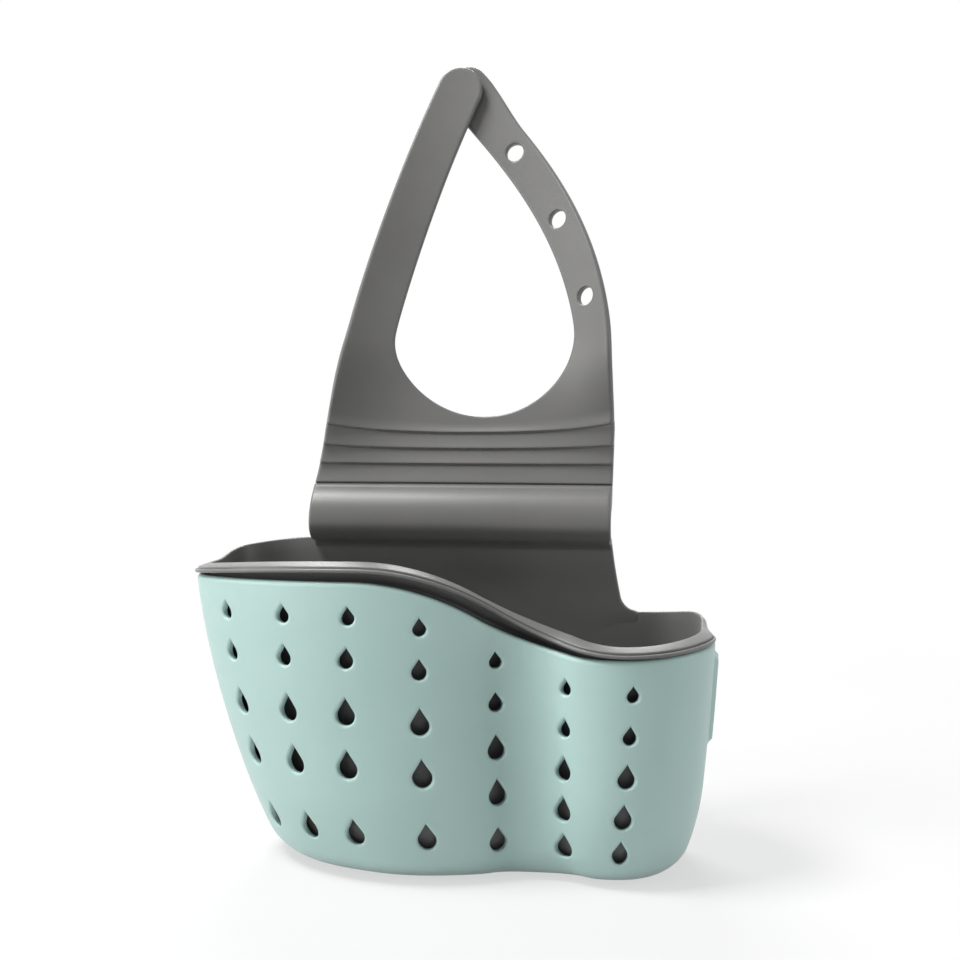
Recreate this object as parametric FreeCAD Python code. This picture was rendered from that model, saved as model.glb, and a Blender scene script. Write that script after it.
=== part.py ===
import FreeCAD
import Part
import math
import os

Vector = FreeCAD.Vector

# Kitchen sink caddy: a drained plastic basket with a soft grey liner inside it.
# The back wall of the liner runs up into a strap that buttons round a tap.
# Millimetres; X to the right, Y to the back, Z up; origin under the middle of the base.

# Basket shell: how far its plan reaches from the origin, at the rim and at the base
rim_left_reach = 74.0
rim_right_reach = 74.0
rim_back_reach = 31.0
base_left_reach = 53.0
base_right_reach = 67.5
base_back_reach = 29.0
# The front waves: a broad left lobe, a hollow and a tighter right lobe
rim_left_front = 33.5
base_left_front = 27.0
rim_right_front = 28.0
base_right_front = 21.0
rim_lobe_place = -22.0
base_lobe_place = -10.0
rim_corner_y = -1.9
base_corner_y = 7.05
rim_right_lobe_radius = 20.0
base_right_lobe_radius = 16.0
rim_hollow_radius = 35.0
base_hollow_radius = 20.0
rim_front_corner_radius = 20.0
base_front_corner_radius = 14.0
rim_back_corner_radius = 15.0
base_back_corner_radius = 13.0
# The sides draw in faster towards the base
taper_height = 88.0
taper_power = 1.6
shell_wall = 1.8
shell_floor = 2.2
base_round = 8.0

# Rims: high on the left, a soft step down to the right
shell_high = 82.6
shell_low = 62.8
shell_step_start = -22.0
shell_step_end = 44.0
shell_left_drop = 1.2
flange_high = 87.8
flange_low = 66.0
flange_step_start = -20.0
flange_step_end = 50.0
flange_left_drop = 3.5
right_rise = 2.2

# Drop-shaped drain holes of the front wall, top row to bottom row
hole_columns = 7
first_column_share = -0.82
column_pitch_share = 0.2555
# The columns lean to the left on their way down, most in the broad lobe
column_lean_share = 0.03
lobe_lean_share = 0.1
lobe_middle_share = -0.36
lobe_spread_share = 0.3
top_row_drop = 9.0
left_bottom_row = 14.5
right_bottom_row = 10.5
left_row_shares = (0.0, 0.19, 0.435, 0.68, 1.0)
right_row_shares = (0.0, 0.255, 0.51, 0.765, 1.0)
row_widths = (3.7, 4.2, 5.3, 5.6, 5.4)
row_heights = (5.0, 5.8, 7.6, 8.0, 7.6)
right_hole_share = 0.88

# Round drain holes through both floors
floor_hole_diameter = 5.0
floor_hole_pitch_x = 17.0
floor_hole_pitch_y = 12.0
floor_hole_back_margin = 16.0
floor_hole_columns = 5
floor_hole_rows = 2

# Grip pads on the two ends
pad_proud = 1.2
pad_width = 14.0
pad_height = 23.0
pad_low = 37.0
pad_middle_y = 6.0

# Soft liner
liner_gap = 0.5
floor_gap = 0.3
liner_wall = 1.8
liner_floor = 2.0
flange_thickness = 2.6
flange_lip = 0.6
lip_thickness = 1.2
bead_setback = 0.4

# Strap: panel above the back rim, with a rolled fold at its foot
strap_thickness = 2.2
strap_left_reach = 47.7
strap_right_reach = 43.2
strap_flare = 9.0
roll_low = 87.5
roll_peak = 94.2
roll_depth = 8.0
roll_foot_radius = 2.4
# Pleated web that lets the strap bend
web_low = 105.0
groove_margin = 1.6
groove_pitch = 4.8
groove_count = 4
groove_width = 1.7
groove_depth = 0.9
web_tilt_share = 0.6
web_gap = 0.15
# The strap leans back and its edges cup forwards
strap_lean = math.radians(10.0)
cup_radius = 66.0
cup_full_height = 150.0
# Yoke below the loop
yoke_height = 27.4
loop_rise = 3.5
loop_bottom_x = 3.75
yoke_left_reach = 43.8
yoke_right_reach = 43.8

# Tails that button together above the loop
left_tail_width = 14.6
right_tail_width = 12.4
tail_gap = 0.8
lift_share = 0.75
tail_rise = 77.6
left_root_x = -30.3
right_root_x = 37.6
button_x = -5.6
left_bow = 2.3
right_bow = 7.4
root_gap = 0.45

# Button holes of the right tail and the mushroom stud of the left one
button_hole_diameter = 5.6
button_hole_pitch_share = 0.2905
button_hole_count = 4
stud_neck_diameter = 4.6
stud_head_diameter = 7.4
stud_head_height = 2.2
stud_head_gap = 0.4

# Modelling values
overrun = 6.0
round_bands = 3
wall_shares = (0.18, 0.34, 0.6, 1.0)
tail_steps = 6
slab_steps = 4
slope_step = 0.05

shell_top = flange_high + overrun
first_groove = web_low + groove_margin
web_high = first_groove + groove_pitch * (groove_count - 1) + groove_margin
root_height = web_high + yoke_height
button_height = root_height + tail_rise
panel_y = rim_back_reach - shell_wall - liner_gap - liner_wall / 2


def smooth_step(share):
    share = min(max(share, 0.0), 1.0)
    return share * share * (3.0 - 2.0 * share)


def drawn_in(rim_value, base_value, height):
    """A size of the plan at a height between rim and base."""
    share = max(1.0 - height / taper_height, 0.0) ** taper_power
    return rim_value + (base_value - rim_value) * share


def end_reaches(height):
    """X of the left and the right end of the shell's outside."""
    left = -drawn_in(rim_left_reach, base_left_reach, height)
    return left, drawn_in(rim_right_reach, base_right_reach, height)


def plan_arcs(height):
    """Arcs of the plan, counter-clockwise: middle, radius and the two turns it spans."""
    left, right = end_reaches(height)
    back = drawn_in(rim_back_reach, base_back_reach, height)
    back_radius = drawn_in(rim_back_corner_radius, base_back_corner_radius, height)
    corner_radius = drawn_in(rim_front_corner_radius, base_front_corner_radius, height)
    corner = Vector(left + corner_radius, drawn_in(rim_corner_y, base_corner_y, height), 0)
    lobe_place = drawn_in(rim_lobe_place, base_lobe_place, height)
    left_front = drawn_in(rim_left_front, base_left_front, height)
    lobe_radius = arc_round(lobe_place - corner.x, left_front + corner.y, corner_radius)
    lobe = Vector(lobe_place, lobe_radius - left_front, 0)
    right_radius = drawn_in(rim_right_lobe_radius, base_right_lobe_radius, height)
    right_lobe = Vector(right - right_radius,
                        right_radius - drawn_in(rim_right_front, base_right_front, height), 0)
    hollow_radius = drawn_in(rim_hollow_radius, base_hollow_radius, height)
    hollow = touching_middle(lobe, lobe_radius + hollow_radius,
                             right_lobe, right_radius + hollow_radius)
    corner_turn = bearing(lobe, corner)
    hollow_turn = bearing(lobe, hollow)
    right_turn = bearing(right_lobe, hollow)
    half_turn = math.pi
    return [
        (Vector(right - back_radius, back - back_radius, 0), back_radius, 0.0, half_turn / 2),
        (Vector(left + back_radius, back - back_radius, 0), back_radius, half_turn / 2, half_turn),
        (corner, corner_radius, half_turn, corner_turn),
        (lobe, lobe_radius, corner_turn, hollow_turn),
        (hollow, -hollow_radius, hollow_turn, right_turn),
        (right_lobe, right_radius, right_turn, 2 * half_turn)]


def arc_round(run, rise, corner_radius):
    """Radius of an arc that is level at its start and goes round a corner circle.

    The circle's middle lies run and rise away from the start.
    """
    return (run ** 2 + rise ** 2 - corner_radius ** 2) / (2 * (rise - corner_radius))


def bearing(start, end):
    """Direction from one point to another, from 0 up to a full turn."""
    return math.atan2(end.y - start.y, end.x - start.x) % (2 * math.pi)


def touching_middle(first, first_reach, second, second_reach):
    """Point in front that lies at the given reaches from two points."""
    run = second - first
    along = (first_reach ** 2 - second_reach ** 2 + run.Length ** 2) / (2 * run.Length)
    aside = math.sqrt(first_reach ** 2 - along ** 2)
    run.normalize()
    return first + run * along + Vector(run.y, -run.x, 0) * aside


def plan_outline(height, inset):
    """Closed outline of the shell at a height, drawn in by inset."""
    edges = []
    ends = []
    for middle, radius, start, end in plan_arcs(height):
        def place(turn):
            reach = radius - inset
            return Vector(middle.x + reach * math.cos(turn), middle.y + reach * math.sin(turn), height)

        ends.append((place(start), place(end)))
        edges.append(Part.Arc(place(start), place((start + end) / 2), place(end)).toShape())
    back_line = Part.makeLine(ends[0][1], ends[1][0])
    left_line = Part.makeLine(ends[1][1], ends[2][0])
    right_line = Part.makeLine(ends[5][1], ends[0][0])
    return Part.Wire([edges[0], back_line, edges[1], left_line] + edges[2:] + [right_line])


def tub_solid(inset, floor):
    """Solid block of the tub's form: rounded bottom edge, drawn-in sides."""
    edge_round = base_round - floor
    wires = []
    for band in range(round_bands + 1):
        turn = math.pi / 2 * band / round_bands
        wires.append(plan_outline(floor + edge_round * (1 - math.cos(turn)),
                                  inset + edge_round * (1 - math.sin(turn))))
    for share in wall_shares:
        wires.append(plan_outline(shell_top * share, inset))
    return Part.makeLoft(wires, True, True)


def arc_sag(run, rise, place):
    """How far an arc that rises by rise over run has left its level start at a place along it."""
    radius = (run ** 2 + rise ** 2) / (2 * rise)
    return radius - math.sqrt(radius ** 2 - place ** 2)


def rim_height(x, high, low, start, end, left_drop):
    """Height of a rim: a soft fall to the left, a step of two arcs, a rise to the right."""
    middle = (start + end) / 2
    half_step = (high - low) / 2
    if x < start:
        return high - arc_sag(start + rim_left_reach, left_drop, start - x)
    if x < middle:
        return high - arc_sag(middle - start, half_step, x - start)
    if x < end:
        return low + arc_sag(end - middle, half_step, end - x)
    return low + arc_sag(rim_right_reach - end, right_rise, x - end)


def shell_rim(x):
    return rim_height(x, shell_high, shell_low, shell_step_start, shell_step_end, shell_left_drop)


def flange_top(x):
    return rim_height(x, flange_high, flange_low, flange_step_start, flange_step_end,
                      flange_left_drop)


def above_rim(rim, step_start, step_end, drop=0.0):
    """Block of all that lies above a rim line, lowered by drop."""
    front = -rim_left_front - overrun

    def place(x):
        return Vector(x, front, rim(x) - drop)

    breaks = [-rim_left_reach - overrun, step_start, (step_start + step_end) / 2, step_end,
              rim_right_reach + overrun]
    edges = [Part.Arc(place(a), place((a + b) / 2), place(b)).toShape()
             for a, b in zip(breaks, breaks[1:])]
    top = button_height + left_tail_width
    corners = [place(breaks[-1]), Vector(breaks[-1], front, top), Vector(breaks[0], front, top),
               place(breaks[0])]
    edges += [Part.makeLine(a, b) for a, b in zip(corners, corners[1:])]
    depth = rim_left_front + rim_back_reach + 2 * overrun
    return Part.Face(Part.Wire(edges)).extrude(Vector(0, depth, 0))


def above_shell():
    return above_rim(shell_rim, shell_step_start, shell_step_end)


def above_flange(drop=0.0):
    return above_rim(flange_top, flange_step_start, flange_step_end, drop)


def front_wall(x, height):
    """Point of the shell's outside front at a place across, and the way out of the wall."""
    for middle, radius, start, end in plan_arcs(height)[2:]:
        share = (x - middle.x) / radius
        if abs(share) >= 1:
            continue
        turn = math.pi + math.acos(-share) if radius > 0 else 2 * math.pi - math.acos(share)
        if min(start, end) <= turn <= max(start, end):
            out = Vector(math.cos(turn), math.sin(turn), 0)
            return middle + out * radius + Vector(0, 0, height), out


def drop_cutter(x, height, hole_width, hole_height):
    """Prism of one drop-shaped hole, square to the wall there."""
    wall, out = front_wall(x, height)
    across = Vector(-out.y, out.x, 0)
    up = Vector(0, 0, 1)
    radius = hole_width / 2
    middle = wall + out * overrun / 2 + up * (radius - hole_height / 2)
    tip_rise = hole_height - radius
    touch = math.asin(radius / tip_rise)
    tip = middle + up * tip_rise
    right_touch = middle + across * radius * math.cos(touch) + up * radius * math.sin(touch)
    left_touch = middle - across * radius * math.cos(touch) + up * radius * math.sin(touch)
    edges = [Part.makeLine(tip, right_touch),
             Part.Arc(right_touch, middle - up * radius, left_touch).toShape(),
             Part.makeLine(left_touch, tip)]
    return Part.Face(Part.Wire(edges)).extrude(out * -(overrun + shell_wall))


def front_holes():
    cutters = []
    for column in range(hole_columns):
        share = first_column_share + column_pitch_share * column
        level = shell_rim(share * rim_right_reach)
        rightness = (shell_high - level) / (shell_high - shell_low)
        rightness = min(max(rightness, 0.0), 1.0)
        bottom = left_bottom_row + (right_bottom_row - left_bottom_row) * rightness
        size_share = 1 + (right_hole_share - 1) * rightness
        from_lobe = (share - lobe_middle_share) / lobe_spread_share
        lean_share = column_lean_share + lobe_lean_share * math.exp(-from_lobe ** 2)
        for row in range(len(row_widths)):
            down = left_row_shares[row] * (1 - rightness) + right_row_shares[row] * rightness
            height = level - top_row_drop - (level - top_row_drop - bottom) * down
            left, right = end_reaches(height)
            x = (left + right) / 2 + (share - lean_share * down) * (right - left) / 2
            cutters.append(drop_cutter(x, height, row_widths[row] * size_share,
                                       row_heights[row] * size_share))
    return cutters


def floor_holes():
    left, right = end_reaches(base_round)
    cutters = []
    for column in range(floor_hole_columns):
        for row in range(floor_hole_rows):
            x = (left + right) / 2 + floor_hole_pitch_x * (column - (floor_hole_columns - 1) / 2)
            y = base_back_reach - floor_hole_back_margin - floor_hole_pitch_y * row
            cutters.append(Part.makeCylinder(floor_hole_diameter / 2, base_round + overrun,
                                             Vector(x, y, -overrun)))
    return cutters


def grip_pads():
    """Raised pads on both ends, following the form of the shell."""
    proud = tub_solid(-pad_proud, 0.0)
    length = rim_left_reach + rim_right_reach + 2 * overrun
    bar = Part.makeBox(length, pad_width, pad_height,
                       Vector(-rim_left_reach - overrun, pad_middle_y - pad_width / 2, pad_low))
    return proud.common(bar)


def outer_basket():
    solid = tub_solid(0.0, 0.0).fuse(grip_pads())
    hollow = tub_solid(shell_wall, shell_floor)
    solid = solid.cut([hollow, above_shell()])
    return solid.cut(front_holes() + floor_holes())


def liner_tub():
    outset = shell_wall + liner_gap
    floor = shell_floor + floor_gap
    body = tub_solid(outset, floor)
    lip = tub_solid(-flange_lip, 0.0)
    lip = lip.common(above_flange(flange_thickness))
    lip = lip.cut(above_flange(flange_thickness - lip_thickness))
    bead = tub_solid(bead_setback, 0.0)
    bead = bead.common(above_flange(flange_thickness - lip_thickness))
    hollow = tub_solid(outset + liner_wall, floor + liner_floor)
    solid = body.fuse([lip, bead]).cut([hollow, above_flange()])
    return solid.cut(floor_holes()).removeSplitter()


def cup_curvature(height):
    """Curvature across the strap: flat at the web's foot, full at the loop."""
    return smooth_step((height - web_low) / (cup_full_height - web_low)) / cup_radius


def strap_middle(height):
    """Y of the strap's middle line at a height."""
    return panel_y + math.tan(strap_lean) * max(height - web_low, 0.0)


def strap_depth(x, height):
    """Y of the strap's middle surface: leaning back, edges cupped forwards."""
    curvature = cup_curvature(height)
    cup = 0.0
    if curvature > 0:
        cup = 1 / curvature - math.sqrt(1 / curvature ** 2 - x ** 2)
    return strap_middle(height) - cup


def cupped_section(height, front_skin, back_skin, tilt):
    """Bow-shaped strip across the strap, in a plane tilted up at its front edges."""
    radius = 1 / max(cup_curvature(height), 1 / cup_radius / cup_radius)
    turn = (strap_left_reach + overrun) / radius
    middle = strap_middle(height)

    def place(ring, angle):
        y = middle - radius + ring * math.cos(angle)
        return Vector(ring * math.sin(angle), y, height + tilt * (middle - y))

    front = [place(radius - front_skin, angle) for angle in (-turn, 0.0, turn)]
    back = [place(radius + back_skin, angle) for angle in (turn, 0.0, -turn)]
    edges = [Part.Arc(*front).toShape(), Part.makeLine(front[2], back[0]),
             Part.Arc(*back).toShape(), Part.makeLine(back[2], front[0])]
    return Part.Wire(edges)


def upright_prism(edges):
    """Block running front to back through an outline drawn in the XZ plane."""
    reach = rim_left_front + rim_back_reach
    face = Part.Face(Part.Wire(edges))
    face.translate(Vector(0, -reach, 0))
    return face.extrude(Vector(0, 3 * reach, 0))


def polyline(corners):
    points = [Vector(x, 0, z) for x, z in corners]
    return [Part.makeLine(a, b) for a, b in zip(points, points[1:])]


def section_lines(corners):
    points = [Vector(0, y, z) for y, z in corners]
    return [Part.makeLine(a, b) for a, b in zip(points, points[1:])]


def below_tilt(height):
    """Block of all that lies under the web's tilted plane at a height."""
    size = button_height
    block = Part.makeBox(2 * size, 2 * size, size, Vector(-size, -size, -size))
    block.rotate(Vector(0, 0, 0), Vector(1, 0, 0), -math.degrees(math.atan(web_tilt_share)))
    block.translate(Vector(0, strap_middle(height), height))
    return block


def strap_edge(height):
    """Left and right edge of the strap between the web's foot and the tails."""
    share = (height - web_low) / (web_high - web_low)
    left = -strap_left_reach + (strap_left_reach - yoke_left_reach) * share
    right = strap_right_reach + (yoke_right_reach - strap_right_reach) * share
    return left, right


def fold_skin(skin):
    """One skin of the fold: three arcs that leave the upright wall and join it again."""
    foot_turn = 2 * math.atan(roll_depth / (roll_peak - roll_low))
    head_turn = 2 * math.atan(roll_depth / (web_low - roll_peak))
    crown_radius = roll_depth / (1 - math.cos(foot_turn)) - roll_foot_radius
    head_radius = roll_depth / (1 - math.cos(head_turn)) - crown_radius
    foot = Vector(0, panel_y - roll_foot_radius, roll_low)
    crown = Vector(0, panel_y - roll_depth + crown_radius, roll_peak)
    head = Vector(0, panel_y - head_radius, web_low)
    edges = []
    for middle, reach, start, end in ((foot, roll_foot_radius + skin, 0.0, foot_turn),
                                      (crown, skin - crown_radius, foot_turn, -head_turn),
                                      (head, head_radius + skin, -head_turn, 0.0)):
        points = [middle + Vector(0, reach * math.cos(turn), reach * math.sin(turn))
                  for turn in (start, (start + end) / 2, end)]
        edges.append(Part.Arc(*points).toShape())
    return edges


def strap_root():
    foot = flange_low - overrun
    half = strap_thickness / 2
    front = panel_y - half
    back = panel_y + half
    top = web_low + overrun
    corners = [(front, web_low), (front, top), (back, top), (back, web_low)]
    edges = fold_skin(-half) + fold_skin(half) + section_lines(corners)
    edges += section_lines([(back, roll_low), (back, foot), (front, foot), (front, roll_low)])
    profile = Part.Face(Part.Wire(Part.__sortEdges__(edges)))
    reach = strap_left_reach + strap_flare
    profile.translate(Vector(-reach, 0, 0))
    sheet = profile.extrude(Vector(2 * reach, 0, 0))
    flare_low = flange_top(strap_right_reach + strap_flare)
    flare_high = flare_low + strap_flare
    bend = strap_flare * (1 - math.sqrt(0.5))
    outline = polyline([(strap_right_reach + strap_flare, flare_low),
                        (strap_right_reach + strap_flare, foot), (-strap_left_reach, foot),
                        (-strap_left_reach, web_low + overrun),
                        (strap_right_reach, web_low + overrun), (strap_right_reach, flare_high)])
    outline.append(Part.Arc(Vector(strap_right_reach, 0, flare_high),
                            Vector(strap_right_reach + bend, 0, flare_low + bend),
                            Vector(strap_right_reach + strap_flare, 0, flare_low)).toShape())
    sheet = sheet.common(upright_prism(outline)).common(above_flange())
    return sheet.common(below_tilt(web_low))


def pleat_web():
    """Ruled pleats: the front skin dips at each groove."""
    half = strap_thickness / 2
    levels = [(web_low, half)]
    for groove in range(groove_count):
        middle = first_groove + groove_pitch * groove
        levels.append((middle - groove_width / 2, half))
        levels.append((middle, half - groove_depth))
        levels.append((middle + groove_width / 2, half))
    levels.append((web_high, half))
    wires = [cupped_section(height, skin, half, web_tilt_share) for height, skin in levels]
    web = Part.makeLoft(wires, True, True)
    low_left, low_right = strap_edge(web_low - overrun)
    high_left, high_right = strap_edge(web_high + overrun)
    outline = polyline([(low_left, web_low - overrun), (low_right, web_low - overrun),
                        (high_right, web_high + overrun), (high_left, web_high + overrun),
                        (low_left, web_low - overrun)])
    return web.common(upright_prism(outline))


def tail_place(root_x, bow, share, lift):
    """Point of a tail's middle line with its along, across and front directions."""
    def flat_point(part):
        run = Vector(button_x - root_x, 0, button_height - root_height)
        side = Vector(run.z, 0, -run.x).normalize()
        if root_x < button_x:
            side = side * -1
        point = Vector(root_x, 0, root_height) + run * part + side * (4 * bow * part * (1 - part))
        return Vector(point.x, strap_depth(point.x, point.z), point.z)

    point = flat_point(share)
    along = (flat_point(share + slope_step) - flat_point(share - slope_step)).normalize()
    slope_x = strap_depth(point.x + slope_step, point.z) - strap_depth(point.x - slope_step, point.z)
    slope_z = strap_depth(point.x, point.z + slope_step) - strap_depth(point.x, point.z - slope_step)
    front = Vector(slope_x, -2 * slope_step, slope_z).normalize()
    across = front.cross(along).normalize()
    if across.x < 0:
        across = across * -1
    front = front - along * front.dot(along)
    front.normalize()
    return point + front * (lift * smooth_step(share / lift_share)), along, across, front


def tail_strip(root_x, bow, width, lift):
    """Strip with a round end, its root rounded about the line where it bends."""
    half_width = width / 2
    half = strap_thickness / 2
    wires = []
    for step in range(tail_steps + 1):
        point, along, across, front = tail_place(root_x, bow, step / tail_steps, lift)
        corners = [point + across * side * half_width + front * skin * half
                   for side, skin in ((-1, -1), (1, -1), (1, 1), (-1, 1), (-1, -1))]
        wires.append(Part.makePolygon(corners))
    strip = Part.makeLoft(wires, True, False)
    end = Part.makeCylinder(half_width, strap_thickness, point - front * half, front)
    point, along, across, front = tail_place(root_x, bow, 0.0, lift)
    knuckle = Part.makeCylinder(half, width, point - across * half_width, across)
    return strip.fuse([end, knuckle])


def left_lift():
    return strap_thickness + tail_gap


def button_tail():
    return tail_strip(left_root_x, left_bow, left_tail_width, left_lift())


def hole_tail():
    tail = tail_strip(right_root_x, right_bow, right_tail_width, 0.0)
    for hole in range(button_hole_count):
        share = 1 - hole * button_hole_pitch_share
        point, along, across, front = tail_place(right_root_x, right_bow, share, 0.0)
        if hole == 0:
            point, front = button_axis()
        tail = tail.cut(Part.makeCylinder(button_hole_diameter / 2, 2 * overrun,
                                          point - front * overrun, front))
    return tail


def button_axis():
    """Middle of the left tail's round end and its front direction."""
    point, along, across, front = tail_place(left_root_x, left_bow, 1.0, left_lift())
    return point, front


def snap_stud():
    """Mushroom stud on the back of the left tail, through the right tail's end hole."""
    point, front = button_axis()
    half = strap_thickness / 2
    neck_length = tail_gap + strap_thickness + stud_head_gap
    neck_radius = stud_neck_diameter / 2
    head_radius = stud_head_diameter / 2
    head_top = neck_length + stud_head_height
    crown_radius = (head_radius ** 2 + stud_head_height ** 2) / (2 * stud_head_height)
    half_span = math.asin(head_radius / crown_radius) / 2
    shoulder = Vector(crown_radius * math.sin(half_span), 0,
                      head_top - crown_radius * (1 - math.cos(half_span)))
    corners = [Vector(0, 0, 0), Vector(neck_radius, 0, 0), Vector(neck_radius, 0, neck_length),
               Vector(head_radius, 0, neck_length)]
    crown = Part.Arc(corners[-1], shoulder, Vector(0, 0, head_top))
    edges = [Part.makeLine(a, b) for a, b in zip(corners, corners[1:])]
    edges += [crown.toShape(), Part.makeLine(Vector(0, 0, head_top), corners[0])]
    stud = Part.Face(Part.Wire(edges)).revolve(Vector(0, 0, 0), Vector(0, 0, 1), 360)
    stud.Placement = FreeCAD.Placement(point - front * half,
                                       FreeCAD.Rotation(Vector(0, 0, 1), front * -1))
    return stud.cut(button_tail())


def root_corner(root_x, bow, width, side):
    """Corner of the yoke's arm, just below the line where the tail bends."""
    point, along, across, front = tail_place(root_x, bow, 0.0, 0.0)
    corner = point + across * side * width / 2
    corner -= along * (strap_thickness / 2 + root_gap)
    return corner.x, corner.z


def loop_yoke():
    """Cupped sheet below the loop, with two arms that carry the tails."""
    half = strap_thickness / 2
    top = root_height + overrun
    wires = []
    for step in range(slab_steps + 1):
        height = web_low + (top - web_low) * step / slab_steps
        wires.append(cupped_section(height, half, half, 0.0))
    slab = Part.makeLoft(wires, True, False)
    low = web_high - overrun
    left_outer = root_corner(left_root_x, left_bow, left_tail_width, -1)
    left_inner = root_corner(left_root_x, left_bow, left_tail_width, 1)
    right_inner = root_corner(right_root_x, right_bow, right_tail_width, -1)
    right_outer = root_corner(right_root_x, right_bow, right_tail_width, 1)
    edges = polyline([right_inner, right_outer, (strap_edge(web_high)[1], web_high),
                      (strap_edge(low)[1], low), (strap_edge(low)[0], low),
                      (strap_edge(web_high)[0], web_high), left_outer, left_inner])
    edges.append(Part.Arc(Vector(left_inner[0], 0, left_inner[1]),
                          Vector(loop_bottom_x, 0, web_high + loop_rise),
                          Vector(right_inner[0], 0, right_inner[1])).toShape())
    yoke = slab.common(upright_prism(edges))
    return yoke.cut(below_tilt(web_high + web_gap))


def main():
    os.makedirs("parts", exist_ok=True)
    makers = (outer_basket, liner_tub, strap_root, pleat_web, loop_yoke, button_tail,
              snap_stud, hole_tail)
    for maker in makers:
        shape = maker()
        shape.exportStep("parts/" + maker.__name__ + ".step")
        box = shape.BoundBox
        print(maker.__name__, shape.ShapeType, "solids", len(shape.Solids), "valid", shape.isValid(),
              "volume", round(shape.Volume), "box",
              [round(value, 1) for value in (box.XMin, box.XMax, box.YMin, box.YMax, box.ZMin, box.ZMax)])
    for name, root_x, bow in (("left", left_root_x, left_bow), ("right", right_root_x, right_bow)):
        point, along, across, front = tail_place(root_x, bow, 0.0, 0.0)
        print(name, "tail root", point, "bends about", across)
    print("button", *button_axis())


main()
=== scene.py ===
import bmesh
import bpy
import math
import numpy as np
from mathutils import Matrix, Vector


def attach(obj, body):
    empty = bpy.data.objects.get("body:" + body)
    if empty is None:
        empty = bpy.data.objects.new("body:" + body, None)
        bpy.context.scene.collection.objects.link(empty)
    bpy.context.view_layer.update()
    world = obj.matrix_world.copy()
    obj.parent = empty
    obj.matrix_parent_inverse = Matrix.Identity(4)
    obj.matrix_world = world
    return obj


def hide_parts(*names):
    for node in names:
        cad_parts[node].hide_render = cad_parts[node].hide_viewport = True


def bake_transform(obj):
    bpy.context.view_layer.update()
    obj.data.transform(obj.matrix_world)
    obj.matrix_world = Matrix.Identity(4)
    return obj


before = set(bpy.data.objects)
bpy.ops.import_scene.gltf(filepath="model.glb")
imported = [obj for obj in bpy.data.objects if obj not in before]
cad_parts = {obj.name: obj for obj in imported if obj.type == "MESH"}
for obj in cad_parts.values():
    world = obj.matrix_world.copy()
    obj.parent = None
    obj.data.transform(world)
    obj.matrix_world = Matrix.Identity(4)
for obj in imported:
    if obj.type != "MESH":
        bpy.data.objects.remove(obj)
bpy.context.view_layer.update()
mm = 0.001  # forms below are worked out in millimetres
print("frame loaded:", sorted(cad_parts))

# Plan of the basket: rim value, then base value
planForm = {
    "leftReach": (74.0, 53.0), "rightReach": (74.0, 67.5), "backReach": (31.0, 29.0),
    "leftFront": (33.5, 27.0), "rightFront": (28.0, 21.0), "lobePlace": (-22.0, -10.0),
    "cornerY": (-1.9, 7.05), "rightLobe": (26.0, 20.8), "hollow": (20.0, 12.0),
    "frontCorner": (20.0, 14.0), "backCorner": (21.0, 15.0),
}
taper = {"height": 88.0, "power": 1.6, "baseRound": 8.0, "faceStart": 0.2, "faceRun": 0.8}
bottomTuck = {"most": 4.6, "top": 26.0, "leftShare": 0.25, "leftStart": -52.0, "leftRun": 30.0,
              "hollowX": 25.0, "hollowRun": 13.0, "backStart": 0.2, "backRun": 0.6}
basketRim = {"high": 82.6, "low": 62.8, "start": -22.0, "end": 44.0, "leftDrop": 1.2, "back": 0.0}
linerRim = {"high": 87.8, "low": 66.0, "start": -20.0, "end": 50.0, "leftDrop": 3.5, "back": 2.5}
rimEnds = {"rightRise": 2.2, "backStart": 2.0, "backRun": 22.0}  # both rims rise at these ends

# Columns of every ring: points per hole cell along the front, then points along the rest
cellSide = 16
frontCells = 7
restCounts = (14, 24, 14, 84, 14, 24, 14)
frontCount = frontCells * cellSide + 1
ringCount = frontCells * cellSide + sum(restCounts)
firstShare, sharePitch = -0.82, 0.2555
holeLean = {"all": 0.03, "lobe": 0.1, "middle": -0.36, "spread": 0.3, "most": 1.15,
            "topDrop": 9.0, "bottom": (14.5, 10.5)}
frontShares = firstShare - sharePitch / 2 + sharePitch * np.arange(frontCount) / cellSide


def smoothStep(t):
    # soft step from 0 to 1: three t squared less two t cubed
    t = np.clip(t, 0.0, 1.0)
    return t * t * (3.0 - 2.0 * t)


def between(start, end, share):
    # straight way from start to end
    return start + (end - start) * share


def spots(*axes):
    # points from their coordinates, all spread over one grid
    return np.stack(np.broadcast_arrays(*axes), -1)


def unit(vectors):
    # the same directions with length 1
    return vectors / np.linalg.norm(vectors, axis=-1, keepdims=True)


def runLength(points):
    # length along a line up to each of its points: sum of its steps
    return np.concatenate([[0], np.cumsum(np.linalg.norm(np.diff(points, axis=0), axis=-1))])


def drawnIn(key, z):
    # from the rim value to the base value, faster towards the base
    return between(*planForm[key], np.maximum(1.0 - z / taper["height"], 0.0) ** taper["power"])


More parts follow.
